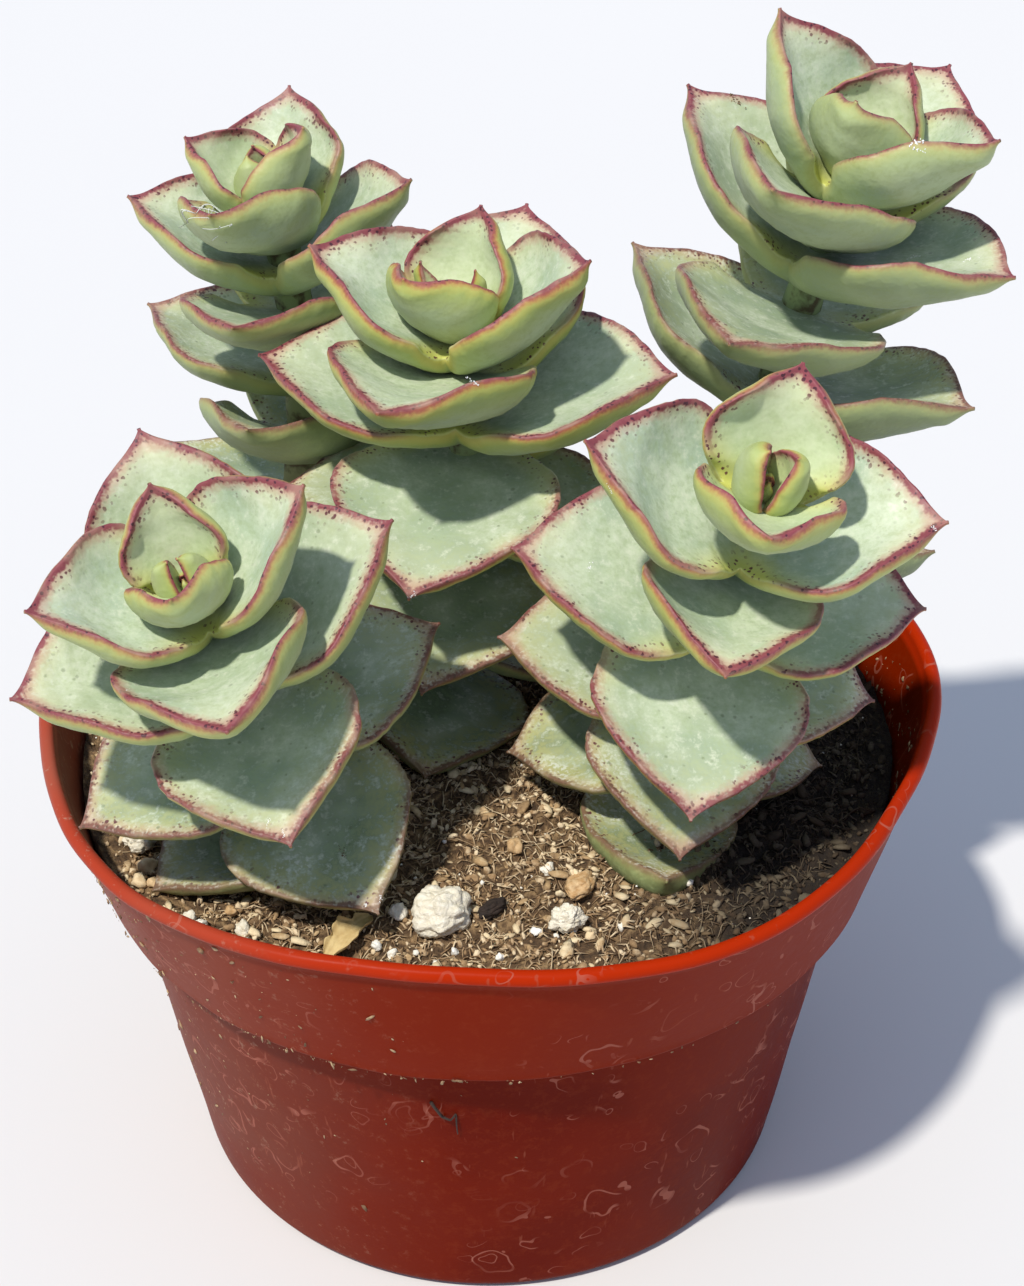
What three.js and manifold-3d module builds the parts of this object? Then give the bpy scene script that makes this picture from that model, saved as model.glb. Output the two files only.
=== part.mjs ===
// Potted string of buttons: five leafy towers of a small succulent in a round nursery pot.
// Millimetres, +Z up. The origin is the middle of the pot's flat base.

import * as THREE from "three";
import { mergeVertices } from "three/addons/utils/BufferGeometryUtils.js";
import Module from "manifold-3d";

const wasm = await Module();
wasm.setup();

const GAP = 0.35; // between separate pieces that touch on the real plant
const SOIL_SLACK = 0.5; // between the soil and the pot's wall

// Pot: a thin moulded cup with a wide collar and a rolled lip
const POT_HEIGHT = 63.2;
const POT_SIDES = 36;
const WALL = 1.3;
const BASE_RADIUS = 37; // where the body's slope would meet the ground
const BODY_RADIUS = 43.9; // just under the collar
const COLLAR_RADIUS = 46.6; // at the collar's lower edge
const COLLAR_HEIGHT = 19.6;
const LIP_RADIUS = 52.5;
const LIP_THICKNESS = 1.7;
const LIP_OVERHANG = 0.35; // past the top of the collar
const COLLAR_EDGE = 0.7; // bevel under the collar
const BASE_FILLET = 2;
const DRAIN_HOLES = 6;
const DRAIN_RADIUS = 3.2;
const DRAIN_CIRCLE = 21;
const DRAIN_SIDES = 10;

// The soft rim has settled slightly out of round, in five shallow waves
const RIM_WAVES = 5;
const RIM_WAVE_DEPTH = 1.1;
const RIM_WAVE_TURN = 62;

// Soil
const SOIL_LEVEL = 54.5;
const SOIL_MOUND = 0.5;
const MOUND_SPREAD = 30;
const SOIL_RIPPLE = 0.25;
const RIPPLE_STEP_X = 5.5;
const RIPPLE_STEP_Y = 6.5;
const SOIL_RINGS = [1, 0.8, 0.58, 0.36, 0.14]; // shares of the surface's radius

// Stems
const STEM_FOOT_RADIUS = 3.3;
const STEM_TOP_RADIUS = 1.9;
const STEM_BURIED = 12;
const STEM_SIDES = 8;
const STEM_STEPS = 5;

// Leaves: proportions of a leaf that is one unit long
const LEAF_THICKNESS = 0.17;
const LEAF_EDGE = 0.6; // mm, the blunt margin
const LEAF_BASE_WAIST = 0.2;
const LEAF_TAPER = 1.18;
const LEAF_STATIONS = [0.18, 0.4, 0.62, 0.83, 1]; // sections, as shares of the length
const LEAF_ACROSS = [1, 0.4, -0.4, -1];
const LEAF_THINNING = 0.75; // share of the thickness lost from the stem to the tip
const TIP_HALF_WIDTH = 0.35; // mm
const CURL = 3; // degrees that a level leaf curls up along its length
const CURL_PER_TILT = 0.4;
const CUP = 13; // degrees that a level leaf's margin rises across its half width
const CUP_PER_TILT = 0.85;
const BUD_NARROWING = 0.75; // width of the bud's leaves, for that of the pair round them

// The five towers. A stem runs from its foot on the soil to its top, and bows sideways by `bow`
// halfway up. The pairs of leaves are spaced from the top down to `lowest` mm above the foot; a
// `crowding` above 1 packs them closer at the top. From the top pair down, each pair has a length
// in mm, a tilt of its tips above square to the stem, and a small turn off the regular quarter
// turn, in degrees. The whole tower is turned by `turn`, and a further `twist` for each pair.
// `width` is a leaf's width for its length, `bud` is the innermost pair, and `eased` names single
// leaves, as pair:side, that have grown shorter, thinner, narrower or higher than their partner.
const TOWERS = [
  {
    name: "tower_front_left",
    foot: [-20, -18],
    top: [-28.5, -31, 95.2],
    bow: [0, 2],
    lowest: 4,
    crowding: 1.5,
    turn: 16,
    twist: 1.5,
    width: 0.98,
    bud: { width: 1, length: 6, tilt: 76 },
    lengths: [11.5, 17.5, 21, 22, 22.5, 22, 22, 19],
    tilts: [55, 36, 27, 21, 5, -1, -12, 9],
    turns: [-4, 4, -2, 2, -5, 5, 4, 11],
    eased: { "7:1": { length: 13.5, tilt: -9 } },
  },
  {
    name: "tower_front_right",
    foot: [19.5, -11],
    top: [27, -26.5, 102.2],
    bow: [-0.5, 3],
    lowest: 4.8,
    crowding: 1,
    turn: -11,
    twist: 1.5,
    width: 1,
    bud: { width: 1.2, length: 8.5, tilt: 60 },
    lengths: [13.5, 20, 19, 22, 23, 21, 21, 19, 19.5],
    tilts: [43, 27, 21, 8, -7, -4, -9, -13, 2],
    turns: [-2, 0, -2, 2, 0, -3, 0, 0, -4],
    eased: { "7:0": { tilt: -20 }, "8:0": { length: 21, tilt: -1.6, width: 0.74, thickness: 0.12 } },
  },
  {
    name: "tower_centre",
    foot: [-7.5, 10],
    top: [-2.5, 6.5, 105.7],
    bow: [3, 1],
    lowest: 5.1,
    crowding: 1.5,
    turn: -26.5,
    twist: 3,
    width: 1.06,
    bud: { width: 1.2, length: 7, tilt: 74 },
    lengths: [12.5, 19, 22.5, 24, 24.5, 23, 23, 21.5, 20],
    tilts: [54, 35, 22, 14, -9, -5, -15, -16, -3],
    turns: [-7, 6, -2, 6, -1, -3, -1, 0, 2],
    eased: {
      "3:0": { tilt: 11.5, thickness: 0.15 },
      "5:0": { tilt: -11, thickness: 0.15 },
      "5:1": { length: 21 },
      "7:0": { length: 16 },
      "8:0": { length: 22, tilt: -5.5, thickness: 0.12 },
    },
  },
  {
    name: "tower_back_left",
    foot: [-25.5, 25.5],
    top: [-24.5, 30, 109.7],
    bow: [3.5, 3],
    lowest: 5,
    crowding: 1.5,
    turn: -104,
    twist: -1,
    width: 1.02,
    bud: { width: 1.2, length: 7, tilt: 72 },
    lengths: [12, 17.5, 20, 22, 22, 22, 21, 19],
    tilts: [52, 36, 30, 23.5, 16, 23.2, 11, -14],
    turns: [-2, 0, 3, 4, -6, 3, -2, 0],
    eased: {
      "3:1": { thickness: 0.14 },
      "4:1": { length: 14 },
      "5:1": { thickness: 0.14 },
      "6:1": { length: 14 },
      "7:0": { length: 14, tilt: 20 },
    },
  },
  {
    name: "tower_back_right",
    foot: [29.5, 16.5],
    top: [41, 19, 117.7],
    bow: [-0.8, 4],
    lowest: 8.9,
    crowding: 1.95,
    turn: -42,
    twist: 2.5,
    width: 1,
    bud: { width: 1.08, length: 7, tilt: 74 },
    lengths: [12.5, 19.5, 23.5, 24.5, 25.5, 25, 24, 25],
    tilts: [60, 43, 27, 23, 14, 19, -8, 23],
    turns: [5, -1, 1, -8, 3, -8, 0, 12],
    eased: { "5:0": { tilt: 22 }, "6:0": { length: 22.5 } },
  },
];

// Loose bits on the soil: place, size along x, y and z, and turn in degrees
const BITS = [
  { name: "perlite_large", at: [-5, -34], size: [6.4, 5.6, 5], turn: 20, kind: "perlite" },
  { name: "perlite_left", at: [-38.5, -20], size: [3.8, 3.2, 2.8], turn: 60, kind: "perlite" },
  { name: "perlite_front", at: [8.4, -34.5], size: [3.6, 3, 2.6], turn: 10, kind: "perlite" },
  { name: "stone_chip", at: [10, -29], size: [4, 2.8, 2.2], turn: 50, kind: "stone" },
  { name: "bark_chip", at: [0.5, -32.5], size: [3.8, 1.8, 1.6], turn: 40, kind: "bark" },
];

const BIT_KNOBBLE = 0.12; // share of the radius that the bumps rise and fall
const BIT_MIDDLE = 0.25; // height of a bit's middle above the soil, as a share of its size

const MATERIALS = {
  plastic: new THREE.MeshStandardMaterial({ color: 0x9c2f17, roughness: 0.42 }),
  soil: new THREE.MeshStandardMaterial({ color: 0x54402f, roughness: 0.95 }),
  leaf: new THREE.MeshStandardMaterial({ color: 0xa3bd94, roughness: 0.55 }),
  perlite: new THREE.MeshStandardMaterial({ color: 0xe9e2cf, roughness: 0.9 }),
  stone: new THREE.MeshStandardMaterial({ color: 0xc9a878, roughness: 0.85 }),
  bark: new THREE.MeshStandardMaterial({ color: 0x3b2a20, roughness: 0.9 }),
};

const vec = (x, y, z) => new THREE.Vector3(x, y, z);
const radians = THREE.MathUtils.degToRad;

// A closed body through rings of points, each ring anticlockwise seen from the last one
function loft(rings) {
  const sides = rings[0].length;
  const points = rings.flat();
  const lastRing = points.length - sides;
  const startCentre = points.length;
  points.push(centreOf(rings[0]), centreOf(rings.at(-1)));
  const index = [];
  for (let ring = 0; ring < lastRing; ring += sides) {
    for (let side = 0; side < sides; side += 1) {
      const a = ring + side;
      const b = ring + (side + 1) % sides;
      index.push(a, b, b + sides, a, b + sides, a + sides);
    }
  }
  for (let side = 0; side < sides; side += 1) {
    const next = (side + 1) % sides;
    index.push(startCentre, next, side);
    index.push(startCentre + 1, lastRing + side, lastRing + next);
  }
  const geometry = new THREE.BufferGeometry().setFromPoints(points);
  geometry.setIndex(index);
  return geometry;
}

function centreOf(ring) {
  const sum = ring.reduce((total, point) => total.add(point), vec(0, 0, 0));
  return sum.divideScalar(ring.length);
}

// Turns a closed geometry into a solid that can be joined and cut
function solid(geometry) {
  geometry.deleteAttribute("normal");
  geometry.deleteAttribute("uv");
  const merged = mergeVertices(geometry, 1e-4);
  const triangles = [];
  for (let i = 0; i < merged.index.count; i += 3) {
    const [a, b, c] = merged.index.array.slice(i, i + 3);
    if (a !== b && b !== c && c !== a) triangles.push(a, b, c);
  }
  return new wasm.Manifold(new wasm.Mesh({
    numProp: 3,
    vertProperties: Float32Array.from(merged.attributes.position.array),
    triVerts: Uint32Array.from(triangles),
  }));
}

// Keeps the outer shell, so that a pocket closed off between joined leaves is filled
function outerShell(body) {
  return body.decompose().reduce((best, shell) => (shell.volume() > best.volume() ? shell : best));
}

function namedMesh(name, body, material) {
  const { vertProperties, triVerts } = body.getMesh();
  const geometry = new THREE.BufferGeometry();
  geometry.setAttribute("position", new THREE.BufferAttribute(vertProperties, 3));
  geometry.setIndex(new THREE.BufferAttribute(triVerts, 1));
  geometry.computeVertexNormals();
  const mesh = new THREE.Mesh(geometry, material);
  mesh.name = name;
  return mesh;
}

// Pushes a point near the rim out and in, so that pot and soil share the same uneven collar
function settleRim(point) {
  const collarFoot = POT_HEIGHT - COLLAR_HEIGHT;
  const share = Math.max(0, (point.z - collarFoot) / COLLAR_HEIGHT) ** 1.5;
  const angle = Math.atan2(point.y, point.x) + radians(RIM_WAVE_TURN);
  const wave = RIM_WAVE_DEPTH * share * Math.cos(RIM_WAVES * angle);
  const radius = Math.hypot(point.x, point.y);
  if (radius > 1) point.multiply(vec(1 + wave / radius, 1 + wave / radius, 1));
  return point;
}

function settleGeometry(geometry) {
  const position = geometry.attributes.position;
  for (let i = 0; i < position.count; i += 1) {
    const point = settleRim(vec().fromBufferAttribute(position, i));
    position.setXYZ(i, point.x, point.y, point.z);
  }
  return geometry;
}

// Outer radius of the pot's sloped body at a height
function bodyRadius(z) {
  return BASE_RADIUS + (BODY_RADIUS - BASE_RADIUS) * z / (POT_HEIGHT - COLLAR_HEIGHT);
}

// Outer radius of the collar at a height, up to just under the lip
function collarRadius(z) {
  const share = (z - POT_HEIGHT + COLLAR_HEIGHT) / COLLAR_HEIGHT;
  return COLLAR_RADIUS + (LIP_RADIUS - LIP_OVERHANG - COLLAR_RADIUS) * share;
}

// Quarter turn from the flat base up to the sloped body
function filletPoints(inset) {
  const radius = BASE_FILLET - inset;
  const centre = new THREE.Vector2(bodyRadius(BASE_FILLET) - BASE_FILLET, BASE_FILLET);
  return [-90, -62, -34, -8].map((degrees) => {
    const angle = radians(degrees);
    return centre.clone().add(new THREE.Vector2(Math.cos(angle), Math.sin(angle)).multiplyScalar(radius));
  });
}

// Half turn of the rolled lip, from its outer foot over the top to the inner wall
function lipPoints() {
  const radius = LIP_THICKNESS / 2;
  const centre = new THREE.Vector2(LIP_RADIUS - radius, POT_HEIGHT - radius);
  return [-50, 0, 50, 100, 180].map((degrees) => {
    const angle = radians(degrees);
    return centre.clone().add(new THREE.Vector2(Math.cos(angle), Math.sin(angle)).multiplyScalar(radius));
  });
}

function makePot() {
  const shoulder = POT_HEIGHT - COLLAR_HEIGHT;
  const underLip = POT_HEIGHT - LIP_THICKNESS;
  const outside = [
    new THREE.Vector2(0, 0),
    ...filletPoints(0),
    new THREE.Vector2(bodyRadius(shoulder), shoulder),
    new THREE.Vector2(COLLAR_RADIUS - COLLAR_EDGE, shoulder),
    new THREE.Vector2(COLLAR_RADIUS, shoulder + COLLAR_EDGE),
    new THREE.Vector2(collarRadius(underLip), underLip),
    ...lipPoints(),
  ];
  const inside = [
    new THREE.Vector2(collarRadius(underLip - 1) - WALL, underLip - 1),
    new THREE.Vector2(collarRadius(shoulder + WALL) - WALL, shoulder + WALL),
    new THREE.Vector2(bodyRadius(shoulder) - WALL, shoulder + WALL),
    ...filletPoints(WALL).reverse(),
    new THREE.Vector2(0, WALL),
  ];
  const lathe = new THREE.LatheGeometry([...outside, ...inside], POT_SIDES).rotateX(Math.PI / 2);
  const shell = solid(settleGeometry(lathe));
  return namedMesh("pot", shell.subtract(drainHoles()), MATERIALS.plastic);
}

function drainHoles() {
  const holes = [];
  for (let i = 0; i < DRAIN_HOLES; i += 1) {
    const angle = 2 * Math.PI * i / DRAIN_HOLES;
    const hole = new THREE.CylinderGeometry(DRAIN_RADIUS, DRAIN_RADIUS, 4 * WALL, DRAIN_SIDES);
    hole.rotateX(Math.PI / 2);
    hole.translate(DRAIN_CIRCLE * Math.cos(angle), DRAIN_CIRCLE * Math.sin(angle), 0);
    holes.push(solid(hole));
  }
  return holes.reduce((all, hole) => all.add(hole));
}

// Height of the soil's surface: a low mound with gentle ripples
function soilHeight(x, y) {
  const mound = SOIL_MOUND * Math.exp(-(x * x + y * y) / MOUND_SPREAD ** 2);
  const ripple = SOIL_RIPPLE * Math.sin(x / RIPPLE_STEP_X + 1) * Math.cos(y / RIPPLE_STEP_Y);
  return SOIL_LEVEL + mound + ripple;
}

function ringAt(radius, heightAt) {
  const ring = [];
  for (let i = 0; i < POT_SIDES; i += 1) {
    const angle = 2 * Math.PI * i / POT_SIDES;
    const x = radius * Math.cos(angle);
    const y = radius * Math.sin(angle);
    ring.push(vec(x, y, heightAt(x, y)));
  }
  return ring;
}

function makeSoil(stems) {
  const shoulder = POT_HEIGHT - COLLAR_HEIGHT;
  const slack = WALL + SOIL_SLACK;
  const underside = filletPoints(slack).map((p) => ringAt(p.x, () => p.y));
  const side = [
    ringAt(bodyRadius(shoulder) - slack, () => shoulder + WALL + GAP),
    ringAt(collarRadius(shoulder + 2) - slack, () => shoulder + WALL + GAP),
  ];
  const edge = collarRadius(SOIL_LEVEL - SOIL_RIPPLE) - slack;
  const top = SOIL_RINGS.map((share) => ringAt(edge * share, soilHeight));
  const block = solid(settleGeometry(loft([...underside, ...side, ...top])));
  const holes = stems.map((stem) => stem.hole).reduce((all, hole) => all.add(hole));
  return namedMesh("soil", block.subtract(holes), MATERIALS.soil);
}

// A tower's curved axis, from the soil's surface to the top pair of leaves
function axisOf(tower) {
  const foot = vec(tower.foot[0], tower.foot[1], soilHeight(...tower.foot));
  const top = vec(...tower.top);
  const middle = foot.clone().add(top).multiplyScalar(0.5);
  const control = middle.clone().add(vec(2 * tower.bow[0], 2 * tower.bow[1], 0));
  return new THREE.QuadraticBezierCurve3(foot, control, top);
}

// Two directions square to the axis, the first one as near to +X as it can be
function frameAcross(along) {
  const across = vec(1, 0, 0).addScaledVector(along, -along.x).normalize();
  return [across, along.clone().cross(across)];
}

function tubeRing(centre, along, radius) {
  const [first, second] = frameAcross(along);
  const ring = [];
  for (let i = 0; i < STEM_SIDES; i += 1) {
    const angle = 2 * Math.PI * i / STEM_SIDES;
    const point = centre.clone().addScaledVector(first, radius * Math.cos(angle));
    ring.push(point.addScaledVector(second, radius * Math.sin(angle)));
  }
  return ring;
}

function makeStem(axis) {
  const footwards = axis.getTangent(0);
  const buried = axis.getPoint(0).addScaledVector(footwards, -STEM_BURIED);
  const rings = [tubeRing(buried, footwards, STEM_FOOT_RADIUS)];
  for (let i = 0; i <= STEM_STEPS; i += 1) {
    const share = i / STEM_STEPS;
    const radius = STEM_FOOT_RADIUS + (STEM_TOP_RADIUS - STEM_FOOT_RADIUS) * share;
    rings.push(tubeRing(axis.getPoint(share), axis.getTangent(share), radius));
  }
  const holeEnd = buried.clone().addScaledVector(footwards, -GAP);
  const holeTop = axis.getPoint(0).addScaledVector(footwards, 2);
  const hole = [holeEnd, holeTop].map((p) => tubeRing(p, footwards, STEM_FOOT_RADIUS + GAP));
  return { body: solid(loft(rings)), hole: solid(loft(hole)) };
}

// Half the width of a leaf of unit length: a waist at the stem, full before the middle, a point
function leafHalfWidth(s) {
  const full = ((1 + LEAF_BASE_WAIST) / 2) ** 2;
  return 0.5 * (Math.max(0, (1 - s) * (s + LEAF_BASE_WAIST)) / full) ** LEAF_TAPER;
}

// A pair of leaves grown together at the stem: one body from the tip of one leaf, through the
// axis at `base`, to the tip of the other. Each midrib rises by `tilt` over its whole length and
// curls up a little more towards the tip. Across, the blade is an arc of a circle, which makes
// a leaf near the bud a deep cup and an old leaf nearly flat.
function makePair({ base, along, turn, width, sides }) {
  const [first, second] = frameAcross(along);
  const out = first.clone().multiplyScalar(Math.cos(turn)).addScaledVector(second, Math.sin(turn));
  const sideways = along.clone().cross(out);
  const stations = [...LEAF_STATIONS.map((s) => -s).reverse(), 0, ...LEAF_STATIONS];
  const rings = stations.map((station) => {
    const leaf = { width, thickness: LEAF_THICKNESS, ...sides[station < 0 ? 1 : 0] };
    const outwards = out.clone().multiplyScalar(station < 0 ? -1 : 1);
    return leafRing({ base, along, outwards, sideways, ...leaf, s: Math.abs(station) });
  });
  return solid(loft(rings));
}

// One section of a leaf, at the share `s` of its length: over the top side, back underneath
function leafRing({ base, along, outwards, sideways, length, tilt, width, thickness, s }) {
  const curl = radians(CURL + CURL_PER_TILT * tilt);
  const cup = radians(CUP + CUP_PER_TILT * Math.max(0, tilt));
  const angle = s > 0 ? radians(tilt) + curl * (s - 0.5) : 0;
  const chord = radians(tilt) + curl * (s - 1) / 2;
  const up = along.clone().multiplyScalar(Math.cos(angle)).addScaledVector(outwards, -Math.sin(angle));
  const midrib = base.clone().addScaledVector(outwards, length * s * Math.cos(chord));
  midrib.addScaledVector(along, length * s * Math.sin(chord));
  const half = Math.max(TIP_HALF_WIDTH, length * width * leafHalfWidth(s));
  const thick = length * thickness * (1 - LEAF_THINNING * s ** 2.5);
  const bend = cup * Math.min(1, half / (0.35 * length));
  const place = (v, depth) => {
    const lean = v * bend;
    const point = midrib.clone().addScaledVector(sideways, half * Math.sin(lean) / bend);
    point.addScaledVector(up, half * (1 - Math.cos(lean)) / bend);
    point.addScaledVector(up, -depth * Math.cos(lean));
    return point.addScaledVector(sideways, depth * Math.sin(lean));
  };
  const topSide = LEAF_ACROSS.map((v) => place(v, 0));
  const underSide = LEAF_ACROSS.map((v) => place(-v, LEAF_EDGE + thick * (1 - v * v) ** 0.7));
  return [...topSide, ...underSide];
}

// All pairs of a tower from the top down, each a quarter turn from the last, then the bud
function pairsOf(tower, axis) {
  const { lengths, tilts, turns, bud } = tower;
  const lowestShare = tower.lowest / (tower.top[2] - axis.getPoint(0).z);
  const pairs = lengths.map((length, pair) => {
    const share = 1 - (1 - lowestShare) * (pair / (lengths.length - 1)) ** tower.crowding;
    const quarter = pair % 2 === 0 ? -90 : 180;
    return makePair({
      base: axis.getPoint(share),
      along: axis.getTangent(share),
      turn: radians(quarter + tower.turn + tower.twist * pair + turns[pair]),
      width: pair === 0 ? bud.width : tower.width,
      sides: [0, 1].map((side) => ({ length, tilt: tilts[pair], ...tower.eased?.[`${pair}:${side}`] })),
    });
  });
  const top = { base: axis.getPoint(1), along: axis.getTangent(1), turn: radians(180 + tower.turn) };
  const inner = { length: bud.length, tilt: bud.tilt };
  pairs.push(makePair({ ...top, width: bud.width * BUD_NARROWING, sides: [inner, inner] }));
  return pairs;
}

function makeTower(tower, axis, stem) {
  const body = pairsOf(tower, axis).reduce((whole, pair) => whole.add(pair), stem.body);
  return namedMesh(tower.name, outerShell(body), MATERIALS.leaf);
}

// A knobbly lump that lies on the soil, its underside pressed to the surface's own shape
function makeBit({ name, at, size, turn, kind }) {
  const lump = new THREE.IcosahedronGeometry(0.5, 1);
  const position = lump.attributes.position;
  for (let i = 0; i < position.count; i += 1) {
    const point = vec().fromBufferAttribute(position, i);
    const knobble = BIT_KNOBBLE * Math.sin(9 * point.x + 4 * point.z) * Math.cos(8 * point.y + 2);
    point.multiplyScalar(1 + knobble).multiply(vec(...size));
    point.applyAxisAngle(vec(0, 0, 1), radians(turn));
    const x = at[0] + point.x;
    const y = at[1] + point.y;
    const ground = soilHeight(x, y) + GAP;
    const lifted = ground + BIT_MIDDLE * size[2] + point.z;
    position.setXYZ(i, x, y, Math.max(ground, lifted));
  }
  return namedMesh(name, solid(lump), MATERIALS[kind]);
}

const plant = new THREE.Group();
plant.name = "potted_succulent";
const axes = TOWERS.map(axisOf);
const stems = axes.map(makeStem);
plant.add(makePot());
plant.add(makeSoil(stems));
TOWERS.forEach((tower, i) => plant.add(makeTower(tower, axes[i], stems[i])));
BITS.forEach((bit) => plant.add(makeBit(bit)));

export default plant;
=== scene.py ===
# %% [markdown]
# This scene dresses a potted string of buttons, a small succulent whose fleshy leaves sit in
# pairs on five upright stems. The measured model is loaded first and stays where it is. Each
# soft or rough piece is then grown again by formula, on the same stems and with the same sizes,
# so that it can have rounded margins, crumbs of peat and water marks.

# %% Load the measured model
import bpy
import numpy as np
from mathutils import Matrix, Vector


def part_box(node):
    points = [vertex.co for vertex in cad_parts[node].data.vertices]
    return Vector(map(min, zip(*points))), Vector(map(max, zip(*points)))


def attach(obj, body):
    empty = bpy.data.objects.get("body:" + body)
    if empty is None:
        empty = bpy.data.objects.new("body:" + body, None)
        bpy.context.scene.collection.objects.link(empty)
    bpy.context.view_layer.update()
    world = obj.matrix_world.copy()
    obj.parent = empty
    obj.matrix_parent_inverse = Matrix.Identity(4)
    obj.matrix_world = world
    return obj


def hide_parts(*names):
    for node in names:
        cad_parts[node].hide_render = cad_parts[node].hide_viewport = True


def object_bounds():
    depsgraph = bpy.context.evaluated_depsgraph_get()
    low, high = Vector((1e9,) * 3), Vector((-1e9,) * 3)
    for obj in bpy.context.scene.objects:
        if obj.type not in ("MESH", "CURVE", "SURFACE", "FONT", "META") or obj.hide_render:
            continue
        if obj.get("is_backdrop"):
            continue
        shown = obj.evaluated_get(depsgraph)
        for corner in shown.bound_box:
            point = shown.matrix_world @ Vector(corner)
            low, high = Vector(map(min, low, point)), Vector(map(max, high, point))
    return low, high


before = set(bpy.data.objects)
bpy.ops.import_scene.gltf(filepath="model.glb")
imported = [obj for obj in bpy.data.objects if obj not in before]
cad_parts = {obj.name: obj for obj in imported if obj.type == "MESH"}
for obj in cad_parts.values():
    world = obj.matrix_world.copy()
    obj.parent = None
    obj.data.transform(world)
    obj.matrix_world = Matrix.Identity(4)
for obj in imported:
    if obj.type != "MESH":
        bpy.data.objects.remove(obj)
cad_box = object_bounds()
MM = 0.001
print("model in mm:", [round(side / MM, 1) for side in cad_box[1] - cad_box[0]])

# %% [markdown]
# A camera is a place, a direction and a lens. The rim, the collar and the base of the pot are
# circles, and the three ellipses that they make in the photograph fix all three. The picture was
# cropped off centre, and a small shift of the lens puts the optical axis back where it was.

# %% Camera
PHOTO_SIZE = (1024, 1286)
OPTICAL_AXIS = (484.4, 675.7)  # pixel of the photograph that the lens points at
FOCAL_PIXELS = 2200
SENSOR = 36
RIM_HEIGHT = 63.2  # mm, as in the measured model
CAMERA_PLACE = Vector((0, -211.4, 208.9))
CAMERA_ROLL = np.radians(-0.695)

back = (CAMERA_PLACE - Vector((0, 0, RIM_HEIGHT))).normalized()
level = Vector((0, 0, 1)).cross(back).normalized()
upright = back.cross(level)
right = level * np.cos(CAMERA_ROLL) + upright * np.sin(CAMERA_ROLL)
above = upright * np.cos(CAMERA_ROLL) - level * np.sin(CAMERA_ROLL)

lens = bpy.data.cameras.new("camera")
lens.sensor_width = SENSOR
lens.lens = FOCAL_PIXELS * SENSOR / max(PHOTO_SIZE)
lens.shift_x = (PHOTO_SIZE[0] / 2 - OPTICAL_AXIS[0]) / max(PHOTO_SIZE)
lens.shift_y = (OPTICAL_AXIS[1] - PHOTO_SIZE[1] / 2) / max(PHOTO_SIZE)
lens.clip_start = 0.01
camera = bpy.data.objects.new("camera", lens)
turned = Matrix((right, above, back)).transposed().to_4x4()
camera.matrix_world = Matrix.Translation(CAMERA_PLACE * MM) @ turned
bpy.context.scene.collection.objects.link(camera)
bpy.context.scene.camera = camera
print("lens in mm:", round(lens.lens, 2), "shift:", round(lens.shift_x, 4), round(lens.shift_y, 4))


def sight(pixel):
    """Direction in which the camera sees a pixel of the photograph."""
    across = (pixel[0] - OPTICAL_AXIS[0]) / FOCAL_PIXELS
    up = (OPTICAL_AXIS[1] - pixel[1]) / FOCAL_PIXELS
    return (across * right + up * above - back).normalized()


# %% [markdown]
# Most of this scene is made of three shapes: a tube of rings closed at both ends, an uneven
# field that is added to a smooth form, and a small lump that is repeated. Each is a few lines of
# array arithmetic, and one function turns points and faces into a piece of the object.

# %% Arrays into pieces
UPWARDS = np.array([0, 0, 1])


def put_mesh(name, points, face_sets, slot, stands_for=(), **attributes):
    """Makes a piece from points in mm and arrays of faces with 3 or 4 corners each. Each further
    array is kept on the mesh as one number for a point."""
    corners = np.concatenate([faces.ravel() for faces in face_sets])
    sizes = np.concatenate([np.full(len(faces), faces.shape[1]) for faces in face_sets])
    mesh = bpy.data.meshes.new(name)
    mesh.vertices.add(len(points))
    mesh.vertices.foreach_set("co", (points * MM).astype(np.float32).ravel())
    mesh.loops.add(len(corners))
    mesh.loops.foreach_set("vertex_index", corners.astype(np.int32))
    mesh.polygons.add(len(sizes))
    mesh.polygons.foreach_set("loop_start", (np.cumsum(sizes) - sizes).astype(np.int32))
    mesh.polygons.foreach_set("use_smooth", np.ones(len(sizes), bool))
    mesh.update(calc_edges=True)
    for key, values in attributes.items():
        layer = mesh.attributes.new(key, "FLOAT", "POINT")
        layer.data.foreach_set("value", values.astype(np.float32).ravel())
    piece = bpy.data.objects.new(name, mesh)
    bpy.context.scene.collection.objects.link(piece)
    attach(piece, "root")
    if stands_for:
        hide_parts(*stands_for)
    print(name, int((sizes - 2).sum()), "triangles")
    return piece


def tube_faces(rings, sides, copies=1):
    """Faces of closed tubes whose points come ring by ring, with the two end centres last: a
    quad between each two neighbours on two rings, and a fan of triangles over each end."""
    ring, side = np.meshgrid(np.arange(rings - 1), np.arange(sides), indexing="ij")
    a = ring * sides + side
    b = ring * sides + (side + 1) % sides
    quads = np.stack([a, b, b + sides, a + sides], -1).reshape(-1, 4)
    here = np.arange(sides)
    after = (here + 1) % sides
    last = (rings - 1) * sides
    first_centre = np.full(sides, rings * sides)
    start = np.stack([first_centre, after, here], -1)
    end = np.stack([first_centre + 1, last + here, last + after], -1)
    jump = np.arange(copies)[:, None, None] * (rings * sides + 2)
    return (quads + jump).reshape(-1, 4), (np.concatenate([start, end]) + jump).reshape(-1, 3)


def with_ends(rings):
    """Adds the centre of the first and the last ring to each tube's points or numbers."""
    shape = rings.shape
    flat = rings.reshape(*shape[:-3], shape[-3] * shape[-2], shape[-1])
    ends = [rings[..., end, :, :].mean(-2)[..., None, :] for end in (0, -1)]
    return np.concatenate([flat, *ends], -2)


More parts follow.
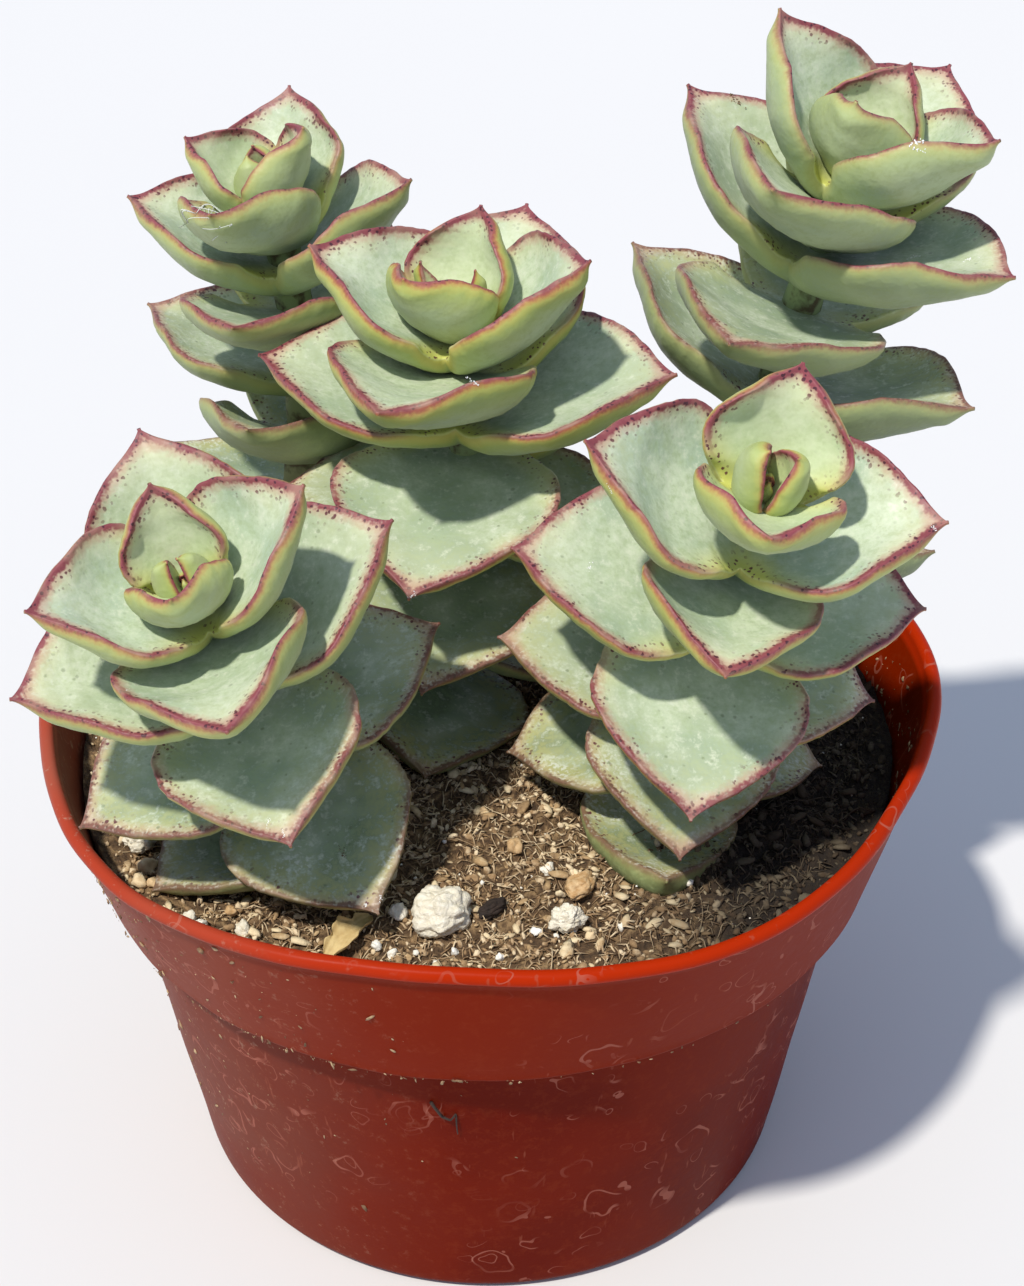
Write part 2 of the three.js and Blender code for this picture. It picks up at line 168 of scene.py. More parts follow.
def uneven(points, size, seed, waves=14):
    """An uneven field between about -1 and 1: the sum of sine waves that run in random
    directions through the points, roughly `size` mm from crest to crest."""
    draw = np.random.default_rng(seed)
    heading = draw.normal(size=(waves, 3))
    heading /= np.linalg.norm(heading, axis=1)[:, None]
    pace = 2 * np.pi / size * draw.uniform(0.6, 1.5, waves)
    phase = draw.uniform(0, 2 * np.pi, waves)
    return np.sin(points @ (heading * pace[:, None]).T + phase).sum(-1) / np.sqrt(waves)


def uneven_layers(points, layers, seed):
    """The sum of uneven fields, one for each size from crest to crest and height, in mm."""
    return sum(height * uneven(points, size, seed + i) for i, (size, height) in enumerate(layers))


def points_box(points):
    """Lowest and highest corner of points, for a print."""
    return [points.min(0).round(1).tolist(), points.max(0).round(1).tolist()]


def smooth(value, low, high):
    """Rises from 0 at `low` to 1 at `high` without a corner at either."""
    share = np.clip((value - low) / (high - low), 0, 1)
    return share * share * (3 - 2 * share)


# %% [markdown]
# The pot is injection-moulded polypropylene: a tapered body, a wider collar above a sharp
# shoulder and a rolled lip. A lathe profile makes it, as it does in the measured model, but with
# short steps and many sectors. Its soft rim has settled out of round in five shallow waves.

# %% Pot profile
WALL = 1.3
BASE_RADIUS, BODY_RADIUS, COLLAR_RADIUS, LIP_RADIUS = 37, 43.9, 46.6, 52.5
COLLAR_HEIGHT = 19.6
LIP_THICKNESS, LIP_OVERHANG = 1.7, 0.35
COLLAR_EDGE, BASE_FILLET = 0.7, 2
RIM_WAVES, RIM_WAVE_DEPTH, RIM_WAVE_TURN = 5, 1.1, np.radians(62)
SHOULDER = RIM_HEIGHT - COLLAR_HEIGHT
UNDER_LIP = RIM_HEIGHT - LIP_THICKNESS
COLLAR_FLARE = LIP_RADIUS - LIP_OVERHANG - COLLAR_RADIUS


def body_radius(z):
    """Straight taper from the base to the shoulder."""
    return BASE_RADIUS + (BODY_RADIUS - BASE_RADIUS) * z / SHOULDER


def collar_radius(z):
    """Straight taper from the shoulder to the lip's foot."""
    return COLLAR_RADIUS + COLLAR_FLARE * (z - SHOULDER) / COLLAR_HEIGHT


def arc(centre, radius, start, stop, count):
    """Points on a circle in the profile's plane, from one angle to another, in degrees."""
    angle = np.radians(np.linspace(start, stop, count))
    return np.stack([centre[0] + radius * np.cos(angle), centre[1] + radius * np.sin(angle)], -1)


def dense(corners, step):
    """Points along a line with corners, no more than `step` mm apart, each corner kept."""
    pieces = []
    for a, b in zip(corners[:-1], corners[1:]):
        count = max(1, int(np.ceil(np.linalg.norm(b - a) / step)))
        pieces.append(a + (b - a) * np.arange(count)[:, None] / count)
    return np.concatenate([*pieces, corners[-1:]])


def settle_rim(points):
    """Moves points near the rim out and in by a cosine of their angle, more the higher they
    are, so that pot, soil and grit share the same uneven collar."""
    share = np.clip((points[..., 2] - SHOULDER) / COLLAR_HEIGHT, 0, None) ** 1.5
    angle = np.arctan2(points[..., 1], points[..., 0]) + RIM_WAVE_TURN
    radius = np.maximum(np.hypot(points[..., 0], points[..., 1]), 1)
    grow = 1 + RIM_WAVE_DEPTH * share * np.cos(RIM_WAVES * angle) / radius
    return points * np.stack([grow, grow, np.ones_like(grow)], -1)


def turned_rings(profile, sectors):
    """A ring of points for each radius and height of a profile."""
    angle = 2 * np.pi * np.arange(sectors) / sectors
    radius, height = profile[:, :1], profile[:, 1:]
    return np.stack([radius * np.cos(angle), radius * np.sin(angle), height + 0 * angle], -1)


fillet_centre = (body_radius(BASE_FILLET) - BASE_FILLET, BASE_FILLET)
lip_centre = (LIP_RADIUS - LIP_THICKNESS / 2, RIM_HEIGHT - LIP_THICKNESS / 2)
outside = np.concatenate([
    [(0.5, 0)],
    arc(fillet_centre, BASE_FILLET, -90, -8, 8),
    [(body_radius(SHOULDER), SHOULDER), (COLLAR_RADIUS - COLLAR_EDGE, SHOULDER)],
    arc((COLLAR_RADIUS - COLLAR_EDGE, SHOULDER + COLLAR_EDGE), COLLAR_EDGE, -60, 0, 4),
    [(collar_radius(UNDER_LIP), UNDER_LIP)],
    arc(lip_centre, LIP_THICKNESS / 2, -50, 180, 18),
])
inside = np.concatenate([
    [(collar_radius(UNDER_LIP - 1) - WALL, UNDER_LIP - 1)],
    [(collar_radius(SHOULDER + WALL) - WALL, SHOULDER + WALL)],
    [(body_radius(SHOULDER) - WALL, SHOULDER + WALL)],
    arc(fillet_centre, BASE_FILLET - WALL, -8, -90, 4),
    [(0.5, WALL)],
])
print("pot profile of", len(outside) + len(inside), "corners")

# %% [markdown]
# Water leaves through six round holes in the base. They are cut with a Boolean modifier, which
# is then applied, because a hole is simpler to cut than to weave into a lathe's grid.

# %% Pot
POT_STEP, POT_SECTORS = 1.2, 224
DRAIN_HOLES, DRAIN_RADIUS, DRAIN_CIRCLE, DRAIN_SIDES = 6, 3.2, 21, 40
WOBBLE, WOBBLE_SIZE = 0.07, 14  # mm, the soft sheen of a thin moulded wall
WOBBLE_STARTS = (2, 8)  # mm above the base, where it fades in


def drill_rings():
    """Two rings for each drill, one above and one below the base."""
    angle = 2 * np.pi * np.arange(DRAIN_SIDES) / DRAIN_SIDES
    around = 2 * np.pi * np.arange(DRAIN_HOLES)[:, None] / DRAIN_HOLES
    x = DRAIN_CIRCLE * np.cos(around) + DRAIN_RADIUS * np.cos(angle)
    y = DRAIN_CIRCLE * np.sin(around) + DRAIN_RADIUS * np.sin(angle)
    return np.stack([np.stack([x, y, 0 * x + z], -1) for z in (-2 * WALL, 2 * WALL)], 1)


def cut_away(piece, cutter):
    """Cuts one mesh out of another for good, and removes the cutter."""
    cut = piece.modifiers.new("cut", "BOOLEAN")
    cut.operation, cut.object, cut.solver = "DIFFERENCE", cutter, "EXACT"
    graph = bpy.context.evaluated_depsgraph_get()
    result = bpy.data.meshes.new_from_object(piece.evaluated_get(graph))
    piece.modifiers.clear()
    piece.data = result
    bpy.data.objects.remove(cutter)


pot_profile = dense(np.concatenate([outside, inside]), POT_STEP)
pot_rings = settle_rim(turned_rings(pot_profile, POT_SECTORS))
from_axis = np.maximum(np.hypot(pot_rings[..., 0], pot_rings[..., 1]), 1)
outward = pot_rings * (1, 1, 0) / from_axis[..., None]
wobble = uneven(pot_rings, WOBBLE_SIZE, 1) * smooth(pot_rings[..., 2], *WOBBLE_STARTS)
pot_rings = pot_rings + outward * (WOBBLE * wobble)[..., None]
pot_faces = tube_faces(len(pot_rings), POT_SECTORS)
pot = put_mesh("pot_moulded", with_ends(pot_rings), pot_faces, "pot_plastic", ["pot"])
drill_points = with_ends(drill_rings()).reshape(-1, 3)
drills = put_mesh("drills", drill_points, tube_faces(2, DRAIN_SIDES, DRAIN_HOLES), "pot_plastic")
cut_away(pot, drills)
print("pot after drilling:", len(pot.data.polygons), "faces")

# %% [markdown]
# The mix is peat, coir and perlite. Its top is one closed block with an uneven surface, and what
# gives it its look lies loose on it: crumbs, fibres and chips. The block keeps the low mound and
# ripples of the measured model, with finer hollows added.

# %% Soil block
SOIL_LEVEL, SOIL_SLACK, GAP = 54.5, 0.5, 0.35
SOIL_MOUND, MOUND_SPREAD = 0.5, 30
SOIL_RIPPLE, RIPPLE_STEP_X, RIPPLE_STEP_Y = 0.25, 5.5, 6.5
SOIL_SECTORS, SOIL_RINGS = 280, 100
HOLLOWS = ((9, 0.35), (3.4, 0.3), (1.5, 0.2))  # size from crest to crest and height, in mm
SOIL_TOP_EDGE = 1.5  # mm under the level where the block's side ends
MOST_SPECKLE = 0.8  # the palest point of the block, on the crumbs' scale from 0 to 1


def ground(x, y):
    """The measured model's soil: a low mound with gentle ripples."""
    mound = SOIL_MOUND * np.exp(-(x * x + y * y) / MOUND_SPREAD ** 2)
    ripple = SOIL_RIPPLE * np.sin(x / RIPPLE_STEP_X + 1) * np.cos(y / RIPPLE_STEP_Y)
    return SOIL_LEVEL + mound + ripple


def rough_ground(x, y):
    """The same surface with hollows of three sizes."""
    flat = np.stack([x, y, 0 * x], -1)
    return ground(x, y) + uneven_layers(flat, HOLLOWS, 20)


slack = WALL + SOIL_SLACK
soil_edge = collar_radius(SOIL_LEVEL - SOIL_RIPPLE) - slack
soil_side = np.concatenate([
    arc(fillet_centre, BASE_FILLET - slack, -90, -8, 4),
    [(body_radius(SHOULDER) - slack, SHOULDER + WALL + GAP)],
    [(collar_radius(SHOULDER + 2) - slack, SHOULDER + WALL + GAP)],
    [(soil_edge, SOIL_LEVEL - SOIL_TOP_EDGE)],
])
top_radii = soil_edge * (1 - np.arange(SOIL_RINGS) / SOIL_RINGS)
soil_top = turned_rings(np.stack([top_radii, 0 * top_radii + SOIL_LEVEL], -1), SOIL_SECTORS)
soil_rings = np.concatenate([turned_rings(soil_side, SOIL_SECTORS), soil_top])
soil_rings[len(soil_side):, :, 2] = rough_ground(soil_top[..., 0], soil_top[..., 1])
soil_rings = settle_rim(soil_rings)
soil_points = with_ends(soil_rings)
speckle = np.random.default_rng(30).uniform(0, MOST_SPECKLE, len(soil_points))
soil_faces = tube_faces(len(soil_rings), SOIL_SECTORS)
soil = put_mesh("soil_block", soil_points, soil_faces, "soil_mix", ["soil"], tint=speckle)

# %% [markdown]
# A crumb of peat is an irregular grain a millimetre or two across. There are thousands, so each
# is a single icosahedron of 20 faces with its corners pushed in and out at random. The same
# grain, flatter or longer, makes chips of bark and specks of perlite.

# %% Grains
GOLDEN = (1 + 5 ** 0.5) / 2
ICO_POINTS = np.array([
    (-1, GOLDEN, 0), (1, GOLDEN, 0), (-1, -GOLDEN, 0), (1, -GOLDEN, 0),
    (0, -1, GOLDEN), (0, 1, GOLDEN), (0, -1, -GOLDEN), (0, 1, -GOLDEN),
    (GOLDEN, 0, -1), (GOLDEN, 0, 1), (-GOLDEN, 0, -1), (-GOLDEN, 0, 1),
]) / np.hypot(1, GOLDEN)
ICO_FACES = np.array([
    (0, 11, 5), (0, 5, 1), (0, 1, 7), (0, 7, 10), (0, 10, 11), (1, 5, 9), (5, 11, 4),
    (11, 10, 2), (10, 7, 6), (7, 1, 8), (3, 9, 4), (3, 4, 2), (3, 2, 6), (3, 6, 8),
    (3, 8, 9), (4, 9, 5), (2, 4, 11), (6, 2, 10), (8, 6, 7), (9, 8, 1),
])
GRAIN_CORNERS = len(ICO_POINTS)
RARITY = 2.2  # the higher, the fewer large grains
FLAT_TILT = 0.25  # how far a lying grain leans, as a slope


def random_turns(draw, count):
    """A random direction in space for each grain, as three axes square to each other."""
    first = draw.normal(size=(count, 3))
    first /= np.linalg.norm(first, axis=1)[:, None]
    second = np.cross(first, draw.normal(size=(count, 3)))
    second /= np.linalg.norm(second, axis=1)[:, None]
    return np.stack([first, second, np.cross(first, second)], 1)


def flat_turns(draw, count, tilt):
    """Axes for grains that lie down: turned at random about the vertical, and tilted a little."""
    yaw, lean = draw.uniform(0, 2 * np.pi, count), draw.normal(0, tilt, (count, 2))
    first = np.stack([np.cos(yaw), np.sin(yaw), lean[:, 0]], -1)
    first /= np.linalg.norm(first, axis=1)[:, None]
    second = np.cross(np.stack([lean[:, 1], 0 * yaw, 1 + 0 * yaw], -1), first)
    second /= np.linalg.norm(second, axis=1)[:, None]
    return np.stack([first, second, np.cross(first, second)], 1)


def grains(draw, centres, sizes, axes, roughness=0.25):
    """Points and faces of one icosahedron for each centre, with half sizes along its axes, and
    every corner moved along its radius at random."""
    count = len(centres)
    corners = ICO_POINTS * (1 + roughness * draw.uniform(-1, 1, (count, GRAIN_CORNERS, 1)))
    points = np.einsum("nij,njk->nik", corners * sizes[:, None], axes) + centres[:, None]
    faces = ICO_FACES + GRAIN_CORNERS * np.arange(count)[:, None, None]
    return points.reshape(-1, 3), faces.reshape(-1, 3)


def scattered(draw, count, reach):
    """Random places on the soil, even over its area, each on the rough ground."""
    radius = reach * np.sqrt(draw.uniform(0, 1, count))
    angle = draw.uniform(0, 2 * np.pi, count)
    x, y = radius * np.cos(angle), radius * np.sin(angle)
    return np.stack([x, y, rough_ground(x, y)], -1)


def scatter(name, count, seed, smallest, largest, shape, slot, lying=True, rise=0.3, reach=0.985):
    """A piece of many grains. Small ones are far more common than large ones. Each one keeps a
    random number, by which its material varies its colour."""
    draw = np.random.default_rng(seed)
    size = smallest * (largest / smallest) ** (draw.uniform(0, 1, count) ** RARITY)
    places = scattered(draw, count, soil_edge * reach)
    places[:, 2] += rise * size * shape[2]
    axes = flat_turns(draw, count, FLAT_TILT) if lying else random_turns(draw, count)
    points, faces = grains(draw, places, size[:, None] * np.array(shape), axes)
    tint = np.repeat(draw.uniform(0, 1, count), GRAIN_CORNERS)
    return put_mesh(name, settle_rim(points), [faces], slot, tint=tint)


crumbs = scatter("peat_crumbs", 7400, 31, 0.16, 0.62, (1.3, 0.8, 0.7), "soil_mix", lying=False)
chips = scatter("bark_flakes", 1700, 32, 0.25, 0.95, (1.5, 0.7, 0.35), "bark", rise=1.2)
specks = scatter("perlite_specks", 170, 33, 0.12, 0.6, (1, 0.9, 0.8), "perlite", rise=0.8)

# %% [markdown]
# Coir and root fibres run through the top of the mix. Each is a tube of three sides that starts
# somewhere on the soil, bends one way as it goes and arches a little over the crumbs. All of them
# are worked out at once, as rings along a quadratic curve.

# %% Fibres
FIBRE_SIDES = 3
FIBRE_BEND, FIBRE_CLEARANCE = 0.5, 0.12  # share of the length, and mm above the soil
STARTS_WITHIN, ENDS_WITHIN = 0.94, 0.975  # shares of the soil's radius


def fibre_tubes(draw, count, rings, shortest, longest, thickest, lift):
    """Rings of many thin tubes: the middle line is start + t * heading + t^2 * bend in plan, its
    height is the ground's plus an arch, and each ring is a triangle across it."""
    t = np.linspace(0, 1, rings)[None, :, None]
    start = scattered(draw, count, soil_edge * STARTS_WITHIN)[:, None]
    yaw = draw.uniform(0, 2 * np.pi, count)
    length = draw.uniform(shortest, longest, count)[:, None, None]
    heading = np.stack([np.cos(yaw), np.sin(yaw), 0 * yaw], -1)[:, None]
    across = np.stack([-np.sin(yaw), np.cos(yaw), 0 * yaw], -1)[:, None]
    bend = draw.normal(0, FIBRE_BEND, (count, 1, 1))
    line = start + length * (t * heading + bend * t * t * across)
    reach = np.hypot(line[..., 0], line[..., 1])[..., None]
    line = line * np.minimum(1, ENDS_WITHIN * soil_edge / reach)
    arch = lift * draw.uniform(0, 1, (count, 1)) * np.sin(np.pi * t[..., 0])
    line[..., 2] = rough_ground(line[..., 0], line[..., 1]) + arch + FIBRE_CLEARANCE
    radius = thickest / 2 * draw.uniform(0.4, 1, (count, 1, 1, 1)) * (1 - 0.5 * t[..., None])
    angle = 2 * np.pi * np.arange(FIBRE_SIDES) / FIBRE_SIDES
    ring = across[:, :, None] * np.cos(angle)[:, None] + UPWARDS * np.sin(angle)[:, None]
    return line[:, :, None] + radius * ring


def lay_fibres(name, count, seed, rings, *shape):
    """A piece of many fibres, each with a random number by which its colour varies."""
    draw = np.random.default_rng(seed)
    tubes = fibre_tubes(draw, count, rings, *shape)
    points = with_ends(tubes)
    tint = np.repeat(draw.uniform(0, 1, count), points.shape[1])
    faces = tube_faces(rings, FIBRE_SIDES, count)
    return put_mesh(name, settle_rim(points.reshape(-1, 3)), faces, "soil_mix", tint=tint)


fibres = lay_fibres("coir_fibres", 10500, 41, 3, 0.5, 1.7, 0.32, 0.5)
roots = lay_fibres("long_roots", 170, 42, 9, 3, 9, 0.22, 1.2)

# %% [markdown]
# Every tower is one stem with pairs of leaves, each pair a quarter turn from the last. The stem
# bends in a quadratic curve from its foot on the soil to its top pair. These are the numbers of
# the measured model, so each leaf comes out where its solid is.

# %% The five towers
TOWERS = {
    "tower_front_left": dict(
        foot=(-20, -18), top=(-28.5, -31, 95.2), bow=(0, 2), lowest=4, crowding=1.5,
        turn=16, twist=1.5, width=0.98, top_width=1, glow=0.6,
        bud=dict(length=5.6, tilt=86, width=0.72, thickness=0.36, cupping=0.12),
        lengths=[11.5, 17.5, 21, 22, 22.5, 22, 22, 19],
        tilts=[55, 36, 27, 21, 5, -1, -12, 9],
        turns=[-4, 4, -2, 2, -5, 5, 4, 11],
        eased={(7, 1): dict(length=13.5, tilt=-9)},
    ),
    "tower_front_right": dict(
        foot=(19.5, -11), top=(27, -26.5, 102.2), bow=(-0.5, 3), lowest=4.8, crowding=1,
        turn=-11, twist=1.5, width=1, top_width=1.2, glow=0.75,
        bud=dict(length=8, tilt=81, width=0.84, thickness=0.25, cupping=0.5),
        lengths=[13.5, 20, 19, 22, 23, 21, 21, 19, 19.5],
        tilts=[43, 27, 21, 8, -7, -4, -9, -13, 2],
        turns=[-2, 0, -2, 2, 0, -3, 0, 0, -4],
        eased={
            (7, 0): dict(tilt=-20),
            (8, 0): dict(tilt=4, width=0.9, thickness=0.26, curl=95),  # half sunk in the soil
        },
    ),
    "tower_centre": dict(
        foot=(-7.5, 10), top=(-2.5, 6.5, 105.7), bow=(3, 1), lowest=5.1, crowding=1.5,
        turn=-26.5, twist=3, width=1.06, top_width=1.2, glow=0.9,
        bud=dict(length=7.6, tilt=65, width=0.36, thickness=0.22, cupping=0.2),
        lengths=[12.5, 19, 22.5, 24, 24.5, 23, 23, 21.5, 20],
        tilts=[54, 35, 22, 14, -9, -5, -15, -16, -3],
        turns=[-7, 6, -2, 6, -1, -3, -1, 0, 2],
        eased={
            (3, 0): dict(tilt=11.5, thickness=0.15),
            (5, 0): dict(tilt=-11, thickness=0.15),
            (5, 1): dict(length=21),
            (7, 0): dict(length=16),
            (8, 0): dict(length=22, tilt=-5.5, thickness=0.16),
        },
    ),
    "tower_back_left": dict(
        foot=(-25.5, 25.5), top=(-24.5, 30, 109.7), bow=(3.5, 3), lowest=5, crowding=1.5,
        turn=-104, twist=-1, width=1.02, top_width=1.2, glow=0.5,
        bud=dict(length=7, tilt=82, width=0.8, thickness=0.26, cupping=0.4),
        lengths=[12, 17.5, 20, 22, 22, 22, 21, 19],
        tilts=[52, 36, 30, 23.5, 16, 23.2, 11, -14],
        turns=[-2, 0, 3, 4, -6, 3, -2, 0],
        eased={
            (3, 1): dict(thickness=0.14),
            (4, 1): dict(length=14),
            (5, 1): dict(thickness=0.14),
            (6, 1): dict(length=14),
            (7, 0): dict(length=14, tilt=20),
        },
    ),
    "tower_back_right": dict(
        foot=(29.5, 16.5), top=(41, 19, 117.7), bow=(-0.8, 4), lowest=8.9, crowding=1.95,
        turn=-42, twist=2.5, width=1, top_width=1.08, glow=0.4,
        bud=dict(length=7, tilt=74, width=0.8, thickness=0.18, cupping=0.9),
        lengths=[12.5, 19.5, 23.5, 24.5, 25.5, 25, 24, 25],
        tilts=[60, 43, 27, 23, 14, 19, -8, 23],
        turns=[5, -1, 1, -8, 3, -8, 0, 12],
        eased={(5, 0): dict(tilt=22), (6, 0): dict(length=22.5)},
    ),
}


def unit(vector):
    """Vectors with the same directions, one unit long."""
    return vector / np.linalg.norm(vector, axis=-1, keepdims=True)


def stem_line(tower, share):
    """Points and directions on the stem's quadratic curve, whose middle control point lies
    twice the bow to the side of the straight line."""
    foot = np.array([*tower["foot"], ground(*tower["foot"])])
    top = np.array(tower["top"])
    control = (foot + top) / 2 + 2 * np.array([*tower["bow"], 0])
    share = np.asarray(share, float)[..., None]
    place = (1 - share) ** 2 * foot + 2 * share * (1 - share) * control + share ** 2 * top
    return place, unit((1 - share) * (control - foot) + share * (top - control))


def across_stem(along):
    """Two directions square to the stem, the first as near to +X as it can be."""
    first = unit(np.array([1, 0, 0]) - along * along[..., :1])
    return first, np.cross(along, first)


def pairs_of(tower):
    """Every pair of a tower from the top down, then the bud and the small pair in its heart: its
    place on the stem, its turn, its age from 0 to 1, and the sizes of its two leaves."""
    count = len(tower["lengths"])
    lowest = tower["lowest"] / (tower["top"][2] - ground(*tower["foot"]))
    found = []
    for i, (length, tilt, turn) in enumerate(zip(tower["lengths"], tower["tilts"], tower["turns"])):
        share = 1 - (1 - lowest) * (i / (count - 1)) ** tower["crowding"]
        turn += (-90 if i % 2 == 0 else 180) + tower["turn"] + tower["twist"] * i
        width = tower["top_width"] if i == 0 else tower["width"]
        usual = dict(length=length, tilt=tilt, width=width, thickness=LEAF_THICKNESS, cupping=1)
        sides = [usual | tower["eased"].get((i, side), {}) for side in (0, 1)]
        found.append(dict(share=share, turn=turn, sides=sides, age=(i + 1) / count))
    bud = tower["bud"]
    heart = bud | HEART | dict(length=bud["length"] * HEART_SIZE)
    found.append(dict(share=1, turn=tower["turn"] + 180, sides=[bud] * 2, age=0))
    found.append(dict(share=1, turn=tower["turn"] - 90, sides=[heart] * 2, age=0))
    for side in (side for pair in found for side in pair["sides"]):
        side.setdefault("curl", CURL + CURL_PER_TILT * side["tilt"])
    return found


print("pairs of leaves:", {name: len(tower["lengths"]) + 2 for name, tower in TOWERS.items()})

# %% [markdown]
# A leaf is as thick as a bean at the stem, and its upper face is nearly flat while the lower one
# swells. Its two margins run from a waist at the stem, out to the full width, and into a short
# point. The two leaves of a pair are grown together round the stem, so each pair is one
# tube from tip to tip. Modelling one leaf by hand and copying it would make 104 equal leaves, so
# a formula draws each with its own wavy margin, fine teeth and dimples.

# %% Leaf shape
LEAF_THICKNESS, LEAF_THINNING, LEAF_EDGE, ROUNDING = 0.17, 0.75, 0.6, 0.16
LEAF_BASE_WAIST, LEAF_TAPER, TIP_HALF_WIDTH = 0.2, 1.18, 0.15
BEAK_FROM, BEAK_NARROWING, BEAK_DROP = 0.84, 0.28, 0.6  # share of the length, share, mm
KEEL_FROM = 0.45
HEART_SIZE, HEART = 0.4, dict(tilt=86, width=0.5, cupping=0.3)
CURL, CURL_PER_TILT, CUP, CUP_PER_TILT = 3, 0.4, 13, 0.85
SMALL_LEAF = 13  # mm, the length below which the red line narrows with the leaf
TIP_CROWDING, SADDLE, ROOT_CUP = 1.15, 0.03, 0.3
SHARED_TO, TILTED_FROM, CUPPED_FROM, TIP_FROM = 0.3, 0.2, 0.22, 0.86  # shares of the length
BELLY_POWER, FLANK_POWER = 0.62, 0.35  # powers of 1 - v^2, where v is -1 and 1 at the margins
MARGIN_STRAY = ((6, 0.16), (1.3, 0.07))  # mm from crest to crest, and height
SWELL = ((9, 0.16), (3, 0.05))
FLUTTER_SIZE, FLUTTER = 11, 0.3
LEAF_STEPS, LEAF_SIDES = 50, 34  # sections from the stem to a tip, points round a section


def half_width(s):
    """Half the width of a leaf one unit long: the product of a rise from the waist and a fall to
    the tip, raised to a power that hollows both."""
    full = ((1 + LEAF_BASE_WAIST) / 2) ** 2
    return 0.5 * (np.maximum(0, (1 - s) * (s + LEAF_BASE_WAIST)) / full) ** LEAF_TAPER


def margin_waves(distance, seed):
    """How far a margin strays in and out: slow waves, and teeth finer than a millimetre."""
    line = np.stack([distance, 0 * distance, 0 * distance], -1)
    return uneven_layers(line, MARGIN_STRAY, seed)


def leaf_pair(tower, pair, seed):
    """Rings of points from one tip through the stem to the other, with each point's distance
    from the margin over the surface (negative underneath) and its share of the leaf's length.

    Each midrib rises by its tilt and curls up towards its tip, where the leaf narrows and dips
    like a beak. A section is an arc of a circle on the upper side, which turns into a V towards
    the tip. The lower side lies under it by the leaf's thickness, which falls to nothing at the
    margins as a power of the distance from the midrib."""
    base, along = stem_line(tower, pair["share"])
    first, second = across_stem(along)
    turn = np.radians(pair["turn"])
    out = first * np.cos(turn) + second * np.sin(turn)
    sideways = np.cross(along, out)
    t = np.linspace(-1, 1, 2 * LEAF_STEPS + 1)[:, None]
    t = np.sign(t) * (1 - (1 - np.abs(t)) ** TIP_CROWDING)
    s, side = np.abs(t), np.where(t < 0, -1.0, 1.0)
    near = 1 - smooth(s, 0, SHARED_TO)
    leaf_0, leaf_1 = pair["sides"]
    own = {key: np.where(side > 0, leaf_0[key], leaf_1[key]) for key in leaf_0}
    shared = {key: own[key] + near * ((leaf_0[key] + leaf_1[key]) / 2 - own[key]) for key in leaf_0}
    length, tilt, size = own["length"], own["tilt"], shared["length"]
    curl = np.radians(own["curl"])
    cup = np.radians(CUP + CUP_PER_TILT * np.maximum(0, shared["tilt"])) * shared["cupping"]
    cup = cup * (ROOT_CUP + (1 - ROOT_CUP) * smooth(s, 0, CUPPED_FROM))
    angle = (np.radians(tilt) + curl * (s - 0.5)) * smooth(s, 0, TILTED_FROM)
    chord = np.radians(tilt) + curl * (s - 1) / 2
    rise = np.sqrt(s * s + SADDLE ** 2) - SADDLE
    midrib = base + side * out * length * s * np.cos(chord) + along * length * rise * np.sin(chord)
    up = along * np.cos(angle) - side * out * np.sin(angle)

    phi = 2 * np.pi * np.arange(LEAF_SIDES) / LEAF_SIDES
    v = np.cos(phi)
    under = phi > np.pi
    beak, keel = smooth(s, BEAK_FROM, 1), smooth(s, KEEL_FROM, 0.95)
    half = size * shared["width"] * half_width(s) * (1 - BEAK_NARROWING * beak)
    half = np.maximum(TIP_HALF_WIDTH, half)
    bend = cup * (np.minimum(1, half / (0.35 * size)) + 0.5 * keel)
    stray = margin_waves(t * length + 50 * np.sign(v), seed) * np.minimum(1, half / 3)
    half = half + stray * np.abs(v) ** 3
    thick = size * shared["thickness"] * (1 - LEAF_THINNING * s ** 2.5)
    edge = np.minimum(LEAF_EDGE, 0.09 * size)
    fade = 1 - 0.75 * smooth(s, TIP_FROM, 1)
    round_from = 1 - np.minimum(0.9, ROUNDING / half)
    rounding = np.clip((np.abs(v) - round_from) / (1 - round_from), 0, 1)
    top_depth = ROUNDING * (1 - np.sqrt(1 - rounding ** 2))
    flank, swollen = (1 - v * v) ** FLANK_POWER, (1 - v * v) ** BELLY_POWER
    belly = ROUNDING + (edge - ROUNDING) * flank + thick * swollen
    depth = np.where(under, belly, top_depth) * fade
    lean = v * bend
    flat = np.stack([t * length + 0 * v, half * v, np.full_like(half, 7.0 * seed)], -1)
    swell = uneven_layers(flat, SWELL, seed + 2)
    each_margin = flat * (1, 0, 1) + np.sign(v)[:, None] * (0, 0, 40)
    flutter = FLUTTER * uneven(each_margin, FLUTTER_SIZE, seed + 4) * v ** 4
    arch, fold = (1 - np.cos(lean)) / bend, (1 - np.cos(bend)) / bend * np.abs(v)
    drop = BEAK_DROP * beak * np.clip(1 - tilt / 50, 0, 1)
    lift = half * (arch + keel * (fold - arch)) - depth * np.cos(lean) - drop
    lift = lift + (swell + flutter) * np.minimum(1, half / 4)
    aside = half * np.sin(lean) / bend + depth * np.sin(lean)
    points = midrib[:, None] + sideways * aside[..., None] + up[:, None] * lift[..., None]
    shrunk = np.clip(SMALL_LEAF / size, 1, 2.4)
    return points, margin_distance(points, half[:, 0], length[:, 0], t[:, 0]) * shrunk, s + 0 * v


